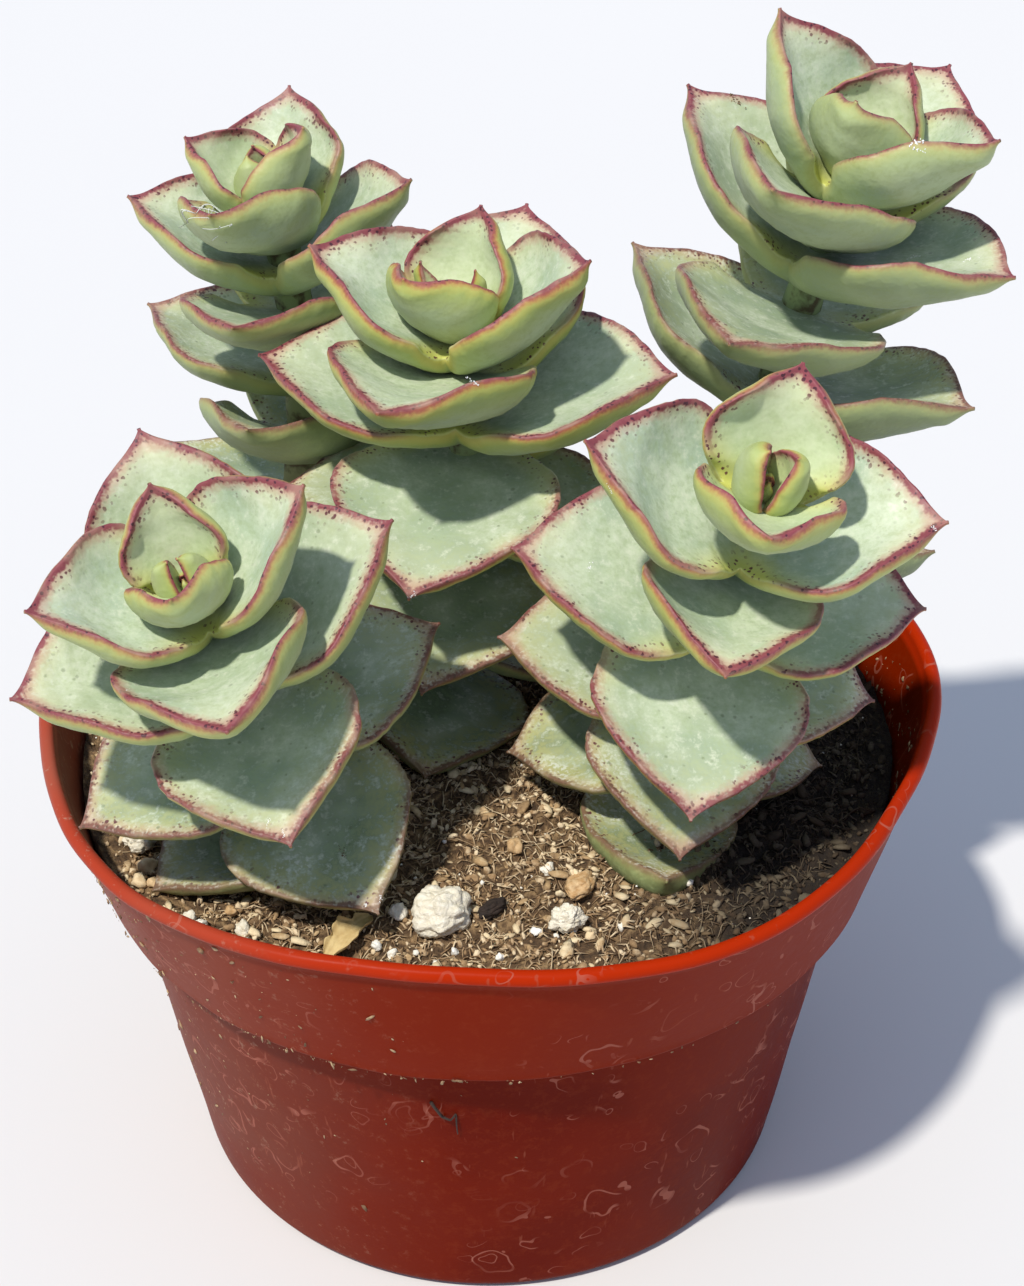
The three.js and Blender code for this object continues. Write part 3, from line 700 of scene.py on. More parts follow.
def margin_distance(points, half, length, t):
    """Distance of each point from the nearer margin: the way round its section, times the cosine
    of the slope that the margin has there. It is negative on the lower side."""
    step = np.linalg.norm(np.diff(points, axis=1, append=points[:, :1]), axis=-1)
    middle = LEAF_SIDES // 2
    way = np.concatenate([np.zeros((len(points), 1)), np.cumsum(step, 1)[:, :-1]], 1)
    total = way[:, middle:middle + 1]
    whole = step.sum(1, keepdims=True)
    upper = np.minimum(way, total - way)
    lower = -np.minimum(way - total, whole - way)
    slope = np.gradient(half, t * length)
    signed = np.where(np.arange(LEAF_SIDES) <= middle, upper, lower)
    return signed / np.sqrt(1 + slope[:, None] ** 2)


# %% [markdown]
# All pairs of a tower become one mesh. Besides its place, each point keeps five numbers for the
# finish: its distance from the margin, its share of the leaf's length, the age of its pair, how
# much light glows through its underside, and a random shade for the whole leaf.

# %% Grow the towers
LEAF_NUMBERS = ("margin_mm", "along", "age", "glow", "tint")
GLOW_AGES, GLOW_LEFT = (0.5, 0.95), (1, 0.2)  # the underside's yellow fades on the oldest leaves


def grow_tower(name, tower, seed):
    """All leaves of a tower as one piece, which stands for its solid."""
    draw = np.random.default_rng(seed)
    points, numbers = [], {key: [] for key in LEAF_NUMBERS}
    leaf_points = [LEAF_STEPS * LEAF_SIDES, (LEAF_STEPS + 1) * LEAF_SIDES]
    for i, pair in enumerate(pairs_of(tower)):
        rings, margin, along = leaf_pair(tower, pair, seed + 10 * i)
        points.append(with_ends(rings))
        margin, along = (with_ends(value[..., None])[:, 0] for value in (margin, along))
        age = np.full(len(margin), pair["age"])
        glow = tower["glow"] * np.interp(age, GLOW_AGES, GLOW_LEFT)
        tint = np.repeat(draw.uniform(0, 1, 2), leaf_points)
        tint = np.concatenate([tint, tint[[0, -1]]])
        for key, value in zip(LEAF_NUMBERS, (margin, along, age, glow, tint)):
            numbers[key].append(value)
    points = np.concatenate(points)
    numbers = {key: np.concatenate(values) for key, values in numbers.items()}
    faces = tube_faces(2 * LEAF_STEPS + 1, LEAF_SIDES, len(points) // len(margin))
    piece = put_mesh(f"leaves_{name[6:]}", points, faces, "leaf", [name], **numbers)
    reach = [np.round(np.array(corner) / MM, 1).tolist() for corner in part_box(name)]
    print("  solid", reach, "leaves", points_box(points))
    return piece


leaves = [grow_tower(name, tower, 100 * (i + 1)) for i, (name, tower) in enumerate(TOWERS.items())]

# %% [markdown]
# Between the pairs a little of the stem shows. It is a round green stalk that turns tan and
# knotty towards the soil, where the oldest leaves have dropped. A tube with an uneven radius
# along the same curve makes it.

# %% Stems
STEM_FOOT_RADIUS, STEM_TOP_RADIUS = 3.3, 1.9
STEM_STEPS, STEM_SIDES = 70, 28
STEM_ENDS = (-0.08, 0.99)  # shares of the way from the soil to the top pair
KNOT, KNOT_SIZE = 0.12, 4


def grow_stem(name, tower, seed):
    """A tube from just under the soil to the top pair: its radius tapers evenly, with knots."""
    share = np.linspace(*STEM_ENDS, STEM_STEPS)
    line, along = stem_line(tower, share)
    first, second = across_stem(along)
    angle = 2 * np.pi * np.arange(STEM_SIDES)[:, None] / STEM_SIDES
    round_it = first[:, None] * np.cos(angle) + second[:, None] * np.sin(angle)
    radius = (STEM_FOOT_RADIUS + (STEM_TOP_RADIUS - STEM_FOOT_RADIUS) * share)[:, None, None]
    knots = KNOT * uneven(line[:, None] + 3 * round_it, KNOT_SIZE, seed)[..., None]
    rings = line[:, None] + round_it * (radius + knots)
    height = with_ends(np.repeat(share[:, None, None], STEM_SIDES, 1))
    faces = tube_faces(STEM_STEPS, STEM_SIDES)
    return put_mesh(f"stem_{name[6:]}", with_ends(rings), faces, "leaf", height=height)


stems = [grow_stem(name, tower, 700 + i) for i, (name, tower) in enumerate(TOWERS.items())]

# %% [markdown]
# Five larger bits lie on the soil: three grains of perlite, a tan stone chip and a dark bark chip.
# Each is a sphere's grid, pushed into the same lump as its solid and then roughened. Perlite is
# rock that popped like corn, so its surface is full of pits.

# %% Larger bits
BIT_KNOBBLE, BIT_MIDDLE = 0.12, 0.25
BIT_RINGS, BIT_SIDES = 52, 68
PITS, PITS_MIDDLE = ((0.55, 0.8), (0.2, 0.4)), 0.6  # apart and deep, in shares of the ball
BITS = {
    "perlite_large": ((-5, -34), (6.4, 5.6, 5), 20, "perlite", 0.14),
    "perlite_left": ((-38.5, -20), (3.8, 3.2, 2.8), 60, "perlite", 0.2),
    "perlite_front": ((8.4, -34.5), (3.6, 3, 2.6), 10, "perlite", 0.24),
    "stone_chip": ((10, -29), (4, 2.8, 2.2), 50, "stone_chip", 0.12),
    "bark_chip": ((0.5, -32.5), (3.8, 1.8, 1.6), 40, "bark", 0.15),
}


def ball_grid(rings, sides):
    """Rings of points on a ball one unit across, none of them at its poles."""
    polar = np.pi * (np.arange(rings) + 0.5)[:, None] / rings
    turn = 2 * np.pi * np.arange(sides) / sides
    x, y = np.sin(polar) * np.cos(turn), np.sin(polar) * np.sin(turn)
    return np.stack([x, y, -np.cos(polar) + 0 * turn], -1) / 2


def make_bit(name, at, size, turn, slot, relief, seed):
    """A sphere with knobs, stretched, turned and set on the soil with a flat underside."""
    ball = ball_grid(BIT_RINGS, BIT_SIDES)
    knobs = BIT_KNOBBLE * np.sin(9 * ball[..., 0] + 4 * ball[..., 2]) * np.cos(8 * ball[..., 1] + 2)
    pits = [depth * np.abs(uneven(ball, apart, seed + i)) for i, (apart, depth) in enumerate(PITS)]
    fine = relief * (sum(pits) - PITS_MIDDLE)
    lump = ball * (1 + knobs + fine)[..., None] * np.array(size)
    cos, sin = np.cos(np.radians(turn)), np.sin(np.radians(turn))
    x = at[0] + cos * lump[..., 0] - sin * lump[..., 1]
    y = at[1] + sin * lump[..., 0] + cos * lump[..., 1]
    floor = ground(x, y)
    z = np.maximum(floor, floor + GAP + BIT_MIDDLE * size[2] + lump[..., 2])
    rings = np.stack([x, y, z], -1)
    faces = tube_faces(BIT_RINGS, BIT_SIDES)
    return put_mesh(f"{name}_rough", with_ends(rings), faces, slot, [name])


bits = {name: make_bit(name, *spec, 800 + i) for i, (name, spec) in enumerate(BITS.items())}

# %% [markdown]
# Smaller grains lie where the photograph shows them: chips of tan stone, puffs of perlite and a
# torn scrap of dead leaf. Each is named by its pixel, and the ray of sight through that pixel meets
# the soil at its place. They are lumps like the grains above, with more faces.

# %% Grains at their places
CREAM_GRAINS = {(190, 926): 1.7, (203, 932): 1.3, (244, 932): 1.5, (400, 918): 1.9, (376, 950): 1.4,
                (392, 958): 1.1, (562, 918): 1.6, (572, 930): 1.3, (547, 876): 1.2, (455, 955): 1.0,
                (535, 940): 0.9, (621, 930): 0.9, (436, 965): 0.9, (500, 962): 1.1}
TAN_GRAINS = {(147, 868): 2.1, (139, 886): 1.8, (155, 890): 1.5, (484, 818): 1.4, (514, 854): 1.7,
              (574, 884): 1.5, (560, 900): 1.0, (232, 915): 1.2, (590, 940): 1.1, (528, 822): 1.0}
LUMP_RINGS, LUMP_SIDES = 12, 18
SWELLING, SWELLING_SIZE, PITTING, PITTING_SIZE = 0.28, 0.9, 0.16, 0.35  # shares of the lump


def on_soil(pixel):
    """The place on the soil that a pixel shows: its ray of sight at the soil's mean level."""
    ray = sight(pixel)
    x, y, _ = CAMERA_PLACE + ray * ((SOIL_LEVEL - CAMERA_PLACE.z) / ray.z)
    return np.array([x, y, rough_ground(np.array([x]), np.array([y]))[0]])


def lumps(name, grains, slot, seed):
    """Uneven balls, one for each pixel, as wide as its number in mm and a little flattened."""
    draw = np.random.default_rng(seed)
    ball = ball_grid(LUMP_RINGS, LUMP_SIDES)
    rings = []
    for i, (pixel, size) in enumerate(grains.items()):
        swollen = 1 + SWELLING * uneven(ball, SWELLING_SIZE, seed + i)
        swollen += PITTING * np.abs(uneven(ball, PITTING_SIZE, seed + 50 + i))
        stretch = size * draw.uniform(0.75, 1.15, 3) * (1, 1, 0.75)
        place = on_soil(pixel) + (0, 0, 0.3 * size)
        rings.append(ball * swollen[..., None] * stretch @ random_turns(draw, 1)[0] + place)
    points = with_ends(np.stack(rings)).reshape(-1, 3)
    tint = np.repeat(draw.uniform(0, 1, len(rings)), len(points) // len(rings))
    faces = tube_faces(LUMP_RINGS, LUMP_SIDES, len(rings))
    return put_mesh(name, points, faces, slot, tint=tint)


cream = lumps("perlite_puffs", CREAM_GRAINS, "perlite", 900)
tan = lumps("tan_grit", TAN_GRAINS, "stone_chip", 940)

# %% [markdown]
# The scrap of dead leaf is a dry, ribbed blade that has curled up along its length. It is a tube
# again: flat sections, bent round the midrib, with ribs that a cosine raises across the blade.

# %% Scrap of dead leaf
SCRAP_PIXEL, SCRAP_LENGTH, SCRAP_WIDTH, SCRAP_TURN = (349, 942), 8.5, 3.6, np.radians(58)
SCRAP_STEPS, SCRAP_SIDES = 40, 36
SCRAP_ROLL, SCRAP_HUMP, SCRAP_LIFT = 1.1, 0.5, 0.35  # radians, mm, mm
SCRAP_THICKNESS, RIBS, RIB_HEIGHT, SCRAP_TINT = 0.18, 14, 0.09, 0.75


def dead_leaf():
    """A blade whose half width is w * sin(pi s)^0.6, with thin edges, rolled up by a third of a
    turn and ribbed by a cosine of v, which runs from -1 to 1 across it."""
    s = np.linspace(0.02, 0.98, SCRAP_STEPS)[:, None]
    phi = 2 * np.pi * np.arange(SCRAP_SIDES) / SCRAP_SIDES
    v, skin_side = np.cos(phi), np.sin(phi)
    ragged_edge = 0.25 * uneven(np.stack([9 * s + 0 * v, v + 0 * s, 0 * s * v], -1), 1.6, 960)
    half = SCRAP_WIDTH / 2 * np.sin(np.pi * s) ** 0.6 * (1 + ragged_edge)
    roll = SCRAP_ROLL * v
    aside = half * np.sin(roll) / SCRAP_ROLL
    lift = half * (1 - np.cos(roll)) / SCRAP_ROLL + SCRAP_THICKNESS / 2 * skin_side
    lift = lift + RIB_HEIGHT * np.cos(RIBS * v) + SCRAP_HUMP * np.sin(3 * s) ** 2
    along_it = SCRAP_LENGTH * (s - 0.5) + 0 * v
    cos, sin = np.cos(SCRAP_TURN), np.sin(SCRAP_TURN)
    place = on_soil(SCRAP_PIXEL) + (0, 0, SCRAP_LIFT)
    rings = np.stack([cos * along_it - sin * aside, sin * along_it + cos * aside, lift], -1) + place
    points, faces = with_ends(rings), tube_faces(SCRAP_STEPS, SCRAP_SIDES)
    tint = np.full(len(points), SCRAP_TINT)
    return put_mesh("dead_leaf_scrap", points, faces, "bark", tint=tint)


scrap = dead_leaf()

# %% [markdown]
# Watering has splashed grit and fibres onto the pot, most of them on the left of the collar and
# along its lower edge. Each is a flat grain, set on the wall with its thin side outwards.

# %% Grit on the pot
WALL_GRIT, EDGE_GRIT, INNER_GRIT = 320, 90, 220
SMALLEST_GRIT, GRIT_RANGE, GRIT_SHAPE = 0.07, 5, (1.6, 0.7, 0.4)
COLLAR_SHARE, LOWEST_GRIT = 0.65, 12  # of the wall's grit, and its lowest place in mm


def grit_on_wall(draw, angle, z, radius, outwards):
    """Flat grains on a round wall: along the tangent, up the wall, and thin across it."""
    count = len(angle)
    out = np.stack([np.cos(angle), np.sin(angle), 0 * angle], -1)
    around = np.stack([-np.sin(angle), np.cos(angle), 0 * angle], -1)
    lean = draw.uniform(0, np.pi, (count, 1))
    first = around * np.cos(lean) + UPWARDS * np.sin(lean)
    axes = np.stack([first, np.cross(out, first), out], 1)
    size = SMALLEST_GRIT * GRIT_RANGE ** (draw.uniform(0, 1, (count, 1)) ** 3)
    size = size * draw.uniform(0.5, 1.6, (count, 3)) * GRIT_SHAPE
    places = out * (radius + outwards * 0.05)[:, None] + np.stack([0 * z, 0 * z, z], -1)
    points, faces = grains(draw, places, size, axes)
    return settle_rim(points), faces, np.repeat(draw.uniform(0, 1, count), GRAIN_CORNERS)


def splashed_grit():
    """Grit on the collar and body at the left, along the collar's foot, and inside at the right."""
    draw = np.random.default_rng(970)
    left = np.radians(draw.normal(-150, 22, WALL_GRIT))
    high = draw.uniform(0, 1, WALL_GRIT) < COLLAR_SHARE
    high_z = draw.uniform(SHOULDER + 1, UNDER_LIP - 1, WALL_GRIT)
    left_z = np.where(high, high_z, draw.uniform(LOWEST_GRIT, SHOULDER - 1, WALL_GRIT))
    left_radius = np.where(left_z > SHOULDER, collar_radius(left_z), body_radius(left_z))
    foot = np.radians(draw.normal(-118, 32, EDGE_GRIT))
    foot_z = SHOULDER + draw.uniform(0, 0.6, EDGE_GRIT)
    inner = np.radians(draw.normal(5, 28, INNER_GRIT))
    inner_z = SOIL_LEVEL + 6 * draw.uniform(0, 1, INNER_GRIT) ** 1.6
    sets = [grit_on_wall(draw, left, left_z, left_radius, 1),
            grit_on_wall(draw, foot, foot_z, collar_radius(foot_z), 1),
            grit_on_wall(draw, inner, inner_z, collar_radius(inner_z) - WALL, -1)]
    points, faces, tints = zip(*sets)
    starts = np.cumsum([0] + [len(part) for part in points])
    faces = np.concatenate([part + start for part, start in zip(faces, starts)])
    points, tint = np.concatenate(points), np.concatenate(tints)
    return put_mesh("splashed_grit", points, [faces], "soil_mix", tint=tint)


grit = splashed_grit()

# %% [markdown]
# Drops of hard water and spray have dried on some leaves as chalky crumbs, a spider has left a
# few threads on the tower at the back left, and a wet root has stuck to the pot. All are placed
# by their pixels: the ray of sight is cast onto the piece itself, so each lies on its skin.

# %% Crumbs, threads and a stray root
CHALK_MARKS = {(915, 143): 1.5, (918, 150): 1.0, (912, 257): 1.6, (966, 260): 1.3, (848, 97): 0.8,
               (475, 383): 1.1, (590, 566): 1.0, (1012, 268): 0.9, (955, 512): 0.9, (934, 527): 0.8,
               (268, 822): 0.8, (283, 834): 0.7, (366, 905): 0.9, (380, 900): 0.7, (352, 912): 0.8,
               (412, 596): 0.7, (672, 855): 0.9, (660, 850): 0.7, (610, 489): 0.6, (127, 690): 0.5}
SCAB_MARKS = {(734, 97): 1.5, (738, 103): 1.0, (343, 853): 0.9, (346, 858): 0.6, (340, 849): 0.5}
MARK_CRUMBS, MARK_SPREAD, MARK_STREAK = 16, 0.4, (1, 0.3)  # a streak is longer than wide
THREAD_PIXELS = ((178, 198), (192, 207), (204, 206), (216, 213), (188, 222), (203, 228),
                 (220, 226), (232, 224), (212, 240), (226, 242), (197, 214), (209, 217))
THREADS, THREAD_STEPS, THREAD_RADII = 20, 12, (0.03, 0.08)
THREAD_CLEARANCE, THREAD_BOW, THREAD_SWAY = 0.1, 0.5, 0.7  # mm
ROOT_PIXELS = ((431, 1101), (438, 1108), (443, 1116), (451, 1117), (456, 1112), (457, 1122),
               (458, 1132))
ROOT_STEPS, ROOT_SIDES, ROOT_WAVE, ROOT_TINT = 30, 6, 0.25, 0.2


def on_skin(pixel, pieces):
    """The place on the nearest of the pieces that a pixel shows, and the skin's direction there."""
    start, ray = CAMERA_PLACE * MM, sight(pixel)
    found = [piece.ray_cast(start, ray)[:3] for piece in pieces]
    met = [((place - start).length, place, normal) for hit, place, normal in found if hit]
    if not met:
        return None
    _, place, normal = min(met, key=lambda one: one[0])
    return np.array(place) / MM, np.array(normal)


def marks_on_leaves(name, marks, slot, seed):
    """Flat crumbs, a few for each pixel, spread over its number in mm."""
    draw = np.random.default_rng(seed)
    centres, sizes, axes = [], [], []
    for pixel, spread in marks.items():
        found = on_skin(pixel, leaves)
        if not found:
            continue
        place, normal = found
        first = unit(np.cross(normal, draw.normal(size=3)))
        second = np.cross(normal, first)
        offset = spread * MARK_SPREAD * draw.normal(size=(MARK_CRUMBS, 2)) * MARK_STREAK
        centres.append(place + offset[:, :1] * first + offset[:, 1:] * second)
        sizes.append(spread * draw.uniform(0.03, 0.1, (MARK_CRUMBS, 3)) * (1.2, 1, 0.2))
        axes.append(np.repeat(np.stack([first, second, normal])[None], MARK_CRUMBS, 0))
    points, faces = grains(draw, *(np.concatenate(part) for part in (centres, sizes, axes)))
    tint = np.repeat(draw.uniform(0, 1, len(points) // GRAIN_CORNERS), GRAIN_CORNERS)
    return put_mesh(name, points, [faces], slot, tint=tint)


def threads(name, pixels, seed):
    """Slack threads, each from one place on the skin to another: a straight line that a half
    sine bows outwards and sideways."""
    draw = np.random.default_rng(seed)
    spots = [found for found in (on_skin(pixel, leaves) for pixel in pixels) if found]
    places, normals = (np.array(part) for part in zip(*spots))
    a, b = draw.integers(0, len(spots), (2, THREADS))
    t = np.linspace(0, 1, THREAD_STEPS)[:, None]
    bow = np.sin(np.pi * t)
    line = places[a][:, None] * (1 - t) + places[b][:, None] * t
    sway = THREAD_SWAY * draw.normal(size=(THREADS, 1, 3)) * bow
    line += (THREAD_CLEARANCE + THREAD_BOW * bow) * normals[a][:, None] + sway
    angle = 2 * np.pi * np.arange(FIBRE_SIDES) / FIBRE_SIDES
    ring = np.stack([np.cos(angle), 0 * angle, np.sin(angle)], -1)
    tubes = line[:, :, None] + draw.uniform(*THREAD_RADII, (THREADS, 1, 1, 1)) * ring
    faces = tube_faces(THREAD_STEPS, FIBRE_SIDES, THREADS)
    return put_mesh(name, with_ends(tubes).reshape(-1, 3), faces, "leaf")


def stray_root(name, pixels, radius):
    """A tube through places on the pot's wall, just clear of it, with a wavy middle line."""
    spots = zip(*(on_skin(pixel, [pot]) for pixel in pixels))
    t, knots = np.linspace(0, 1, ROOT_STEPS), np.linspace(0, 1, len(pixels))
    line, out = (
        np.stack([np.interp(t, knots, axis) for axis in np.array(part).T], -1) for part in spots
    )
    line += out * (radius + ROOT_WAVE * np.abs(np.sin(9 * t)))[:, None]
    across = unit(np.cross(np.gradient(line, axis=0), out))
    angle = 2 * np.pi * np.arange(ROOT_SIDES)[:, None] / ROOT_SIDES
    ring = across[:, None] * np.cos(angle) + out[:, None] * np.sin(angle)
    points = with_ends(line[:, None] + ring * (radius * (1.2 - 0.8 * t))[:, None, None])
    faces, tint = tube_faces(ROOT_STEPS, ROOT_SIDES), np.full(len(points), ROOT_TINT)
    return put_mesh(name, points, faces, "soil_mix", tint=tint)


bpy.context.view_layer.update()
chalk = marks_on_leaves("chalk_marks", CHALK_MARKS, "perlite", 980)
scabs = marks_on_leaves("brown_scabs", SCAB_MARKS, "bark", 981)
web = threads("spider_threads", THREAD_PIXELS, 982)
stray = stray_root("stray_root", ROOT_PIXELS, 0.16)

# %% [markdown]
# The finishes come next. Colours are written as a screen shows them and turned into the linear
# values that light works with by one function, and one small function adds a node with its
# settings and links. A pattern's scale is one over its real size, since a mesh is in metres.

# %% Colour and nodes
def linear(colour):
    """The linear red, green and blue of an sRGB hex colour, with full opacity."""
    value = np.array([int(colour[i:i + 2], 16) for i in (1, 3, 5)]) / 255
    straight = np.where(value <= 0.04045, value / 12.92, ((value + 0.055) / 1.055) ** 2.4)
    return (*straight.tolist(), 1.0)


def add_node(tree, kind, inputs=None, **settings):
    """Adds a shader node. Each input, by name or number, takes a number, a hex colour, a socket
    or the first output of another node."""
    made = tree.nodes.new("ShaderNode" + kind)
    for name, value in settings.items():
        setattr(made, name, value)
    for key, value in (inputs or {}).items():
        named = [s for s in made.inputs if s.enabled and s.name == key]
        socket = named[0] if named else made.inputs[key]
        if isinstance(value, bpy.types.Node):
            value = next(output for output in value.outputs if output.enabled)
        if isinstance(value, bpy.types.NodeSocket):
            tree.links.new(value, socket)
        else:
            socket.default_value = linear(value) if isinstance(value, str) else value
    return made


def painted(tree, ground_colour, *layers):
    """Lays colours over each other. Each layer is a share, from a node, and a colour."""
    for share, colour in layers:
        both = {"Factor": share, "A": ground_colour, "B": colour}
        ground_colour = add_node(tree, "Mix", both, data_type="RGBA")
    return ground_colour


def product(tree, first, *others):
    """Multiplies shares, so that a layer shows only where all of them do."""
    for other in others:
        first = add_node(tree, "Math", {0: first, 1: other}, operation="MULTIPLY")
    return first


def number_of(tree, key):
    """The number that a mesh keeps for each point under that name."""
    return add_node(tree, "Attribute", attribute_name=key).outputs["Fac"]


def per(size):
    """A texture's scale for a pattern of that size in mm."""
    return 1 / (size * MM)


def new_finish(name, pieces, **sockets):
    """A material with one Principled shader, given to the pieces."""
    material = bpy.data.materials.new(name)
    material.use_nodes = True
    tree = material.node_tree
    shader = tree.nodes["Principled BSDF"]
    for key, value in sockets.items():
        shader.inputs[key.replace("_", " ")].default_value = value
    for piece in pieces:
        piece.data.materials.clear()
        piece.data.materials.append(material)
    place = add_node(tree, "TexCoord").outputs["Object"]
    return tree, shader, place


def cover(tree, shader, colour, height, depth, strength, roughness=None):
    """Links a finish's colour, its relief of that many mm, and its roughness where it varies."""
    relief = add_node(
        tree, "Bump", {"Height": height, "Distance": depth * MM, "Strength": strength})
    tree.links.new(colour.outputs[2], shader.inputs["Base Color"])
    tree.links.new(relief.outputs[0], shader.inputs["Normal"])
    if roughness:
        tree.links.new(roughness.outputs[0], shader.inputs["Roughness"])


# %% [markdown]
# A crassula leaf is green flesh under a clear skin with a pale waxy bloom. In strong sun the skin
# along the margin turns crimson. From the upper face outwards the eye sees pale mint, a tan blush
# with dark specks, a dull crimson line, then rust and lime as the skin curves underneath. The
# distance from the margin that each point carries drives all of these bands, and noise frays
# them. Plant skin has an IOR of about 1.45, and the bloom makes it half rough.

# %% Leaf finish
leaf, skin, place = new_finish("crassula leaf, waxy skin", leaves, IOR=1.45)
margin, along, age, glow, tint = (number_of(leaf, key) for key in LEAF_NUMBERS)

blotch = add_node(leaf, "TexNoise", {"Vector": place, "Scale": per(7), "Detail": 2.0})
mottle = add_node(
    leaf, "TexNoise", {"Vector": place, "Scale": per(1.2), "Detail": 3.0, "Roughness": 0.75})
ragged = add_node(
    leaf, "TexNoise", {"Vector": place, "Scale": per(0.5), "Detail": 1.0, "Roughness": 0.7})
jitter = add_node(leaf, "Math", {0: ragged, 1: 0.9, 2: -0.45}, operation="MULTIPLY_ADD")
frayed = add_node(leaf, "Math", {0: margin, 1: jitter}, operation="ADD")

old = add_node(leaf, "MapRange", {"Value": age, 1: 0.3, 2: 1.0})
oldest = add_node(leaf, "MapRange", {"Value": age, 1: 0.5, 2: 0.9})
young = add_node(leaf, "MapRange", {"Value": age, 1: 0.2, 2: 0.0})
pale = add_node(leaf, "MapRange", {"Value": blotch, 1: 0.42, 2: 0.62})
bluish = add_node(leaf, "MapRange", {"Value": blotch, 1: 0.52, 2: 0.34})
green = add_node(leaf, "MapRange", {"Value": mottle, 1: 0.48, 2: 0.66, 4: 0.6})
bloom = add_node(leaf, "MapRange", {"Value": mottle, 1: 0.46, 2: 0.3, 4: 0.7})
cream_edge = add_node(leaf, "MapRange", {"Value": margin, 1: 3.2, 2: 0.8, 4: 0.6})
crusty = add_node(leaf, "MapRange", {"Value": mottle, 1: 0.4, 2: 0.56, 4: 0.9})
crust_zone = add_node(leaf, "MapRange", {"Value": margin, 1: 7.0, 2: 1.5})
cream_tip = add_node(leaf, "MapRange", {"Value": along, 1: 0.6, 2: 1.0, 4: 0.7})
pink_tip = add_node(leaf, "MapRange", {"Value": along, 1: 0.86, 2: 1.0})
face = painted(
    leaf, "#c0ceb1",
    (bluish, "#abbfa6"),
    (product(leaf, tint, 0.6), "#c6d2a7"),
    (old, "#93a384"),
    # The oldest, lowest pairs turn darker green: partly their own colour, partly a painted shade
    # under the pairs above.
    (product(leaf, oldest, 0.7), "#768a66"),
    (product(leaf, pale, 0.6), "#ced9bb"),
    (green, "#a6b78c"),
    (bloom, "#d8dec6"),
    (young, "#c8d69c"),
    (product(leaf, cream_edge, pale), "#d8d5a8"),
    (product(leaf, cream_tip, mottle), "#dad6aa"),
    (product(leaf, oldest, crusty, crust_zone), "#b1b275"),
    (product(leaf, pink_tip, ragged, 1.3), "#c48f80"),
)

soft = add_node(leaf, "Math", {0: jitter, 1: 0.4, 2: margin}, operation="MULTIPLY_ADD")
fresh = add_node(leaf, "MapRange", {"Value": age, 1: 0.95, 2: 0.5, 3: 0.25})
# Underneath, the margin's rust, yellow and lime are the skin's own colours. Each tower's glow
# number scales them as a painted glow of light through the thin margin.
lime_zone = add_node(leaf, "MapRange", {"Value": soft, 1: -4.6, 2: -1.0, 4: 0.85})
yellow_zone = add_node(leaf, "MapRange", {"Value": soft, 1: -1.4, 2: -0.4, 4: 0.75})
rust_zone = add_node(leaf, "MapRange", {"Value": soft, 1: -0.7, 2: -0.15})
reddened = add_node(leaf, "MapRange", {"Value": along, 1: 0.16, 2: 0.42})
underside = painted(
    leaf, "#b2c096",
    (bluish, "#a1b192"),
    (old, "#7c8a62"),
    (green, "#a1af7e"),
    (product(leaf, young, 0.6), "#c3cf94"),
    (product(leaf, lime_zone, glow), "#a5b14e"),
    (product(leaf, yellow_zone, glow), "#cabc60"),
    (product(leaf, rust_zone, reddened, glow), "#ae5d40"),
)

# %% [markdown]
# Over the two skins lie the marks of the margin: the crimson line, a tan blush inside it and dark
# specks, then grey-green dots, and on old leaves a dry brown edge with flakes of dead skin. Each
# is a colour with a share between 0 and 1, made from the same few numbers and noises.

# %% Leaf margin and marks
on_top = add_node(leaf, "MapRange", {"Value": margin, 1: -0.12, 2: 0.12})
streak = add_node(leaf, "TexNoise", {"Vector": place, "Scale": per(3.6), "Detail": 1.0})
strong = add_node(leaf, "MapRange", {"Value": streak, 1: 0.3, 2: 0.5, 3: 0.5})
thin = add_node(leaf, "MapRange", {"Value": age, 1: 0.1, 2: 0.9, 3: 0.0, 4: 0.25})
inward = add_node(leaf, "Math", {0: frayed, 1: thin}, operation="ADD")
band_in = add_node(leaf, "MapRange", {"Value": inward, 1: 0.95, 2: 0.55})
band_out = add_node(leaf, "MapRange", {"Value": soft, 1: -0.4, 2: 0.0})
band = product(leaf, band_in, band_out, reddened, strong)
blush_in = add_node(leaf, "MapRange", {"Value": frayed, 1: 1.7, 2: 0.6, 4: 0.75})
near_stem = add_node(leaf, "MapRange", {"Value": along, 1: 0.45, 2: 0.12})
near_margin = add_node(leaf, "MapRange", {"Value": margin, 1: 4.0, 2: 0.6})
bud_edge = add_node(leaf, "MapRange", {"Value": age, 1: 0.75, 2: 0.45})
speck_cells = add_node(leaf, "TexVoronoi", {"Vector": place, "Scale": per(0.6)})
speck_size = add_node(
    leaf, "Math", {0: ragged, 1: 0.7, 2: speck_cells.outputs["Distance"]}, operation="MULTIPLY_ADD")
speck = add_node(leaf, "MapRange", {"Value": speck_size, 1: 0.66, 2: 0.58})
speck_zone = add_node(leaf, "MapRange", {"Value": frayed, 1: 2.6, 2: 0.9})
speck_patch = add_node(leaf, "MapRange", {"Value": streak, 1: 0.4, 2: 0.54, 4: 0.95})
dot_cells = add_node(leaf, "TexVoronoi", {"Vector": place, "Scale": per(1.5)})
dot_size = add_node(
    leaf, "Math", {0: mottle, 1: 0.5, 2: dot_cells.outputs["Distance"]}, operation="MULTIPLY_ADD")
dot = add_node(leaf, "MapRange", {"Value": dot_size, 1: 0.4, 2: 0.3, 4: 0.6})
dotted = add_node(leaf, "MapRange", {"Value": age, 1: 0.1, 2: 0.6, 3: 0.15})
crust = add_node(leaf, "MapRange", {"Value": blotch, 1: 0.56, 2: 0.66})
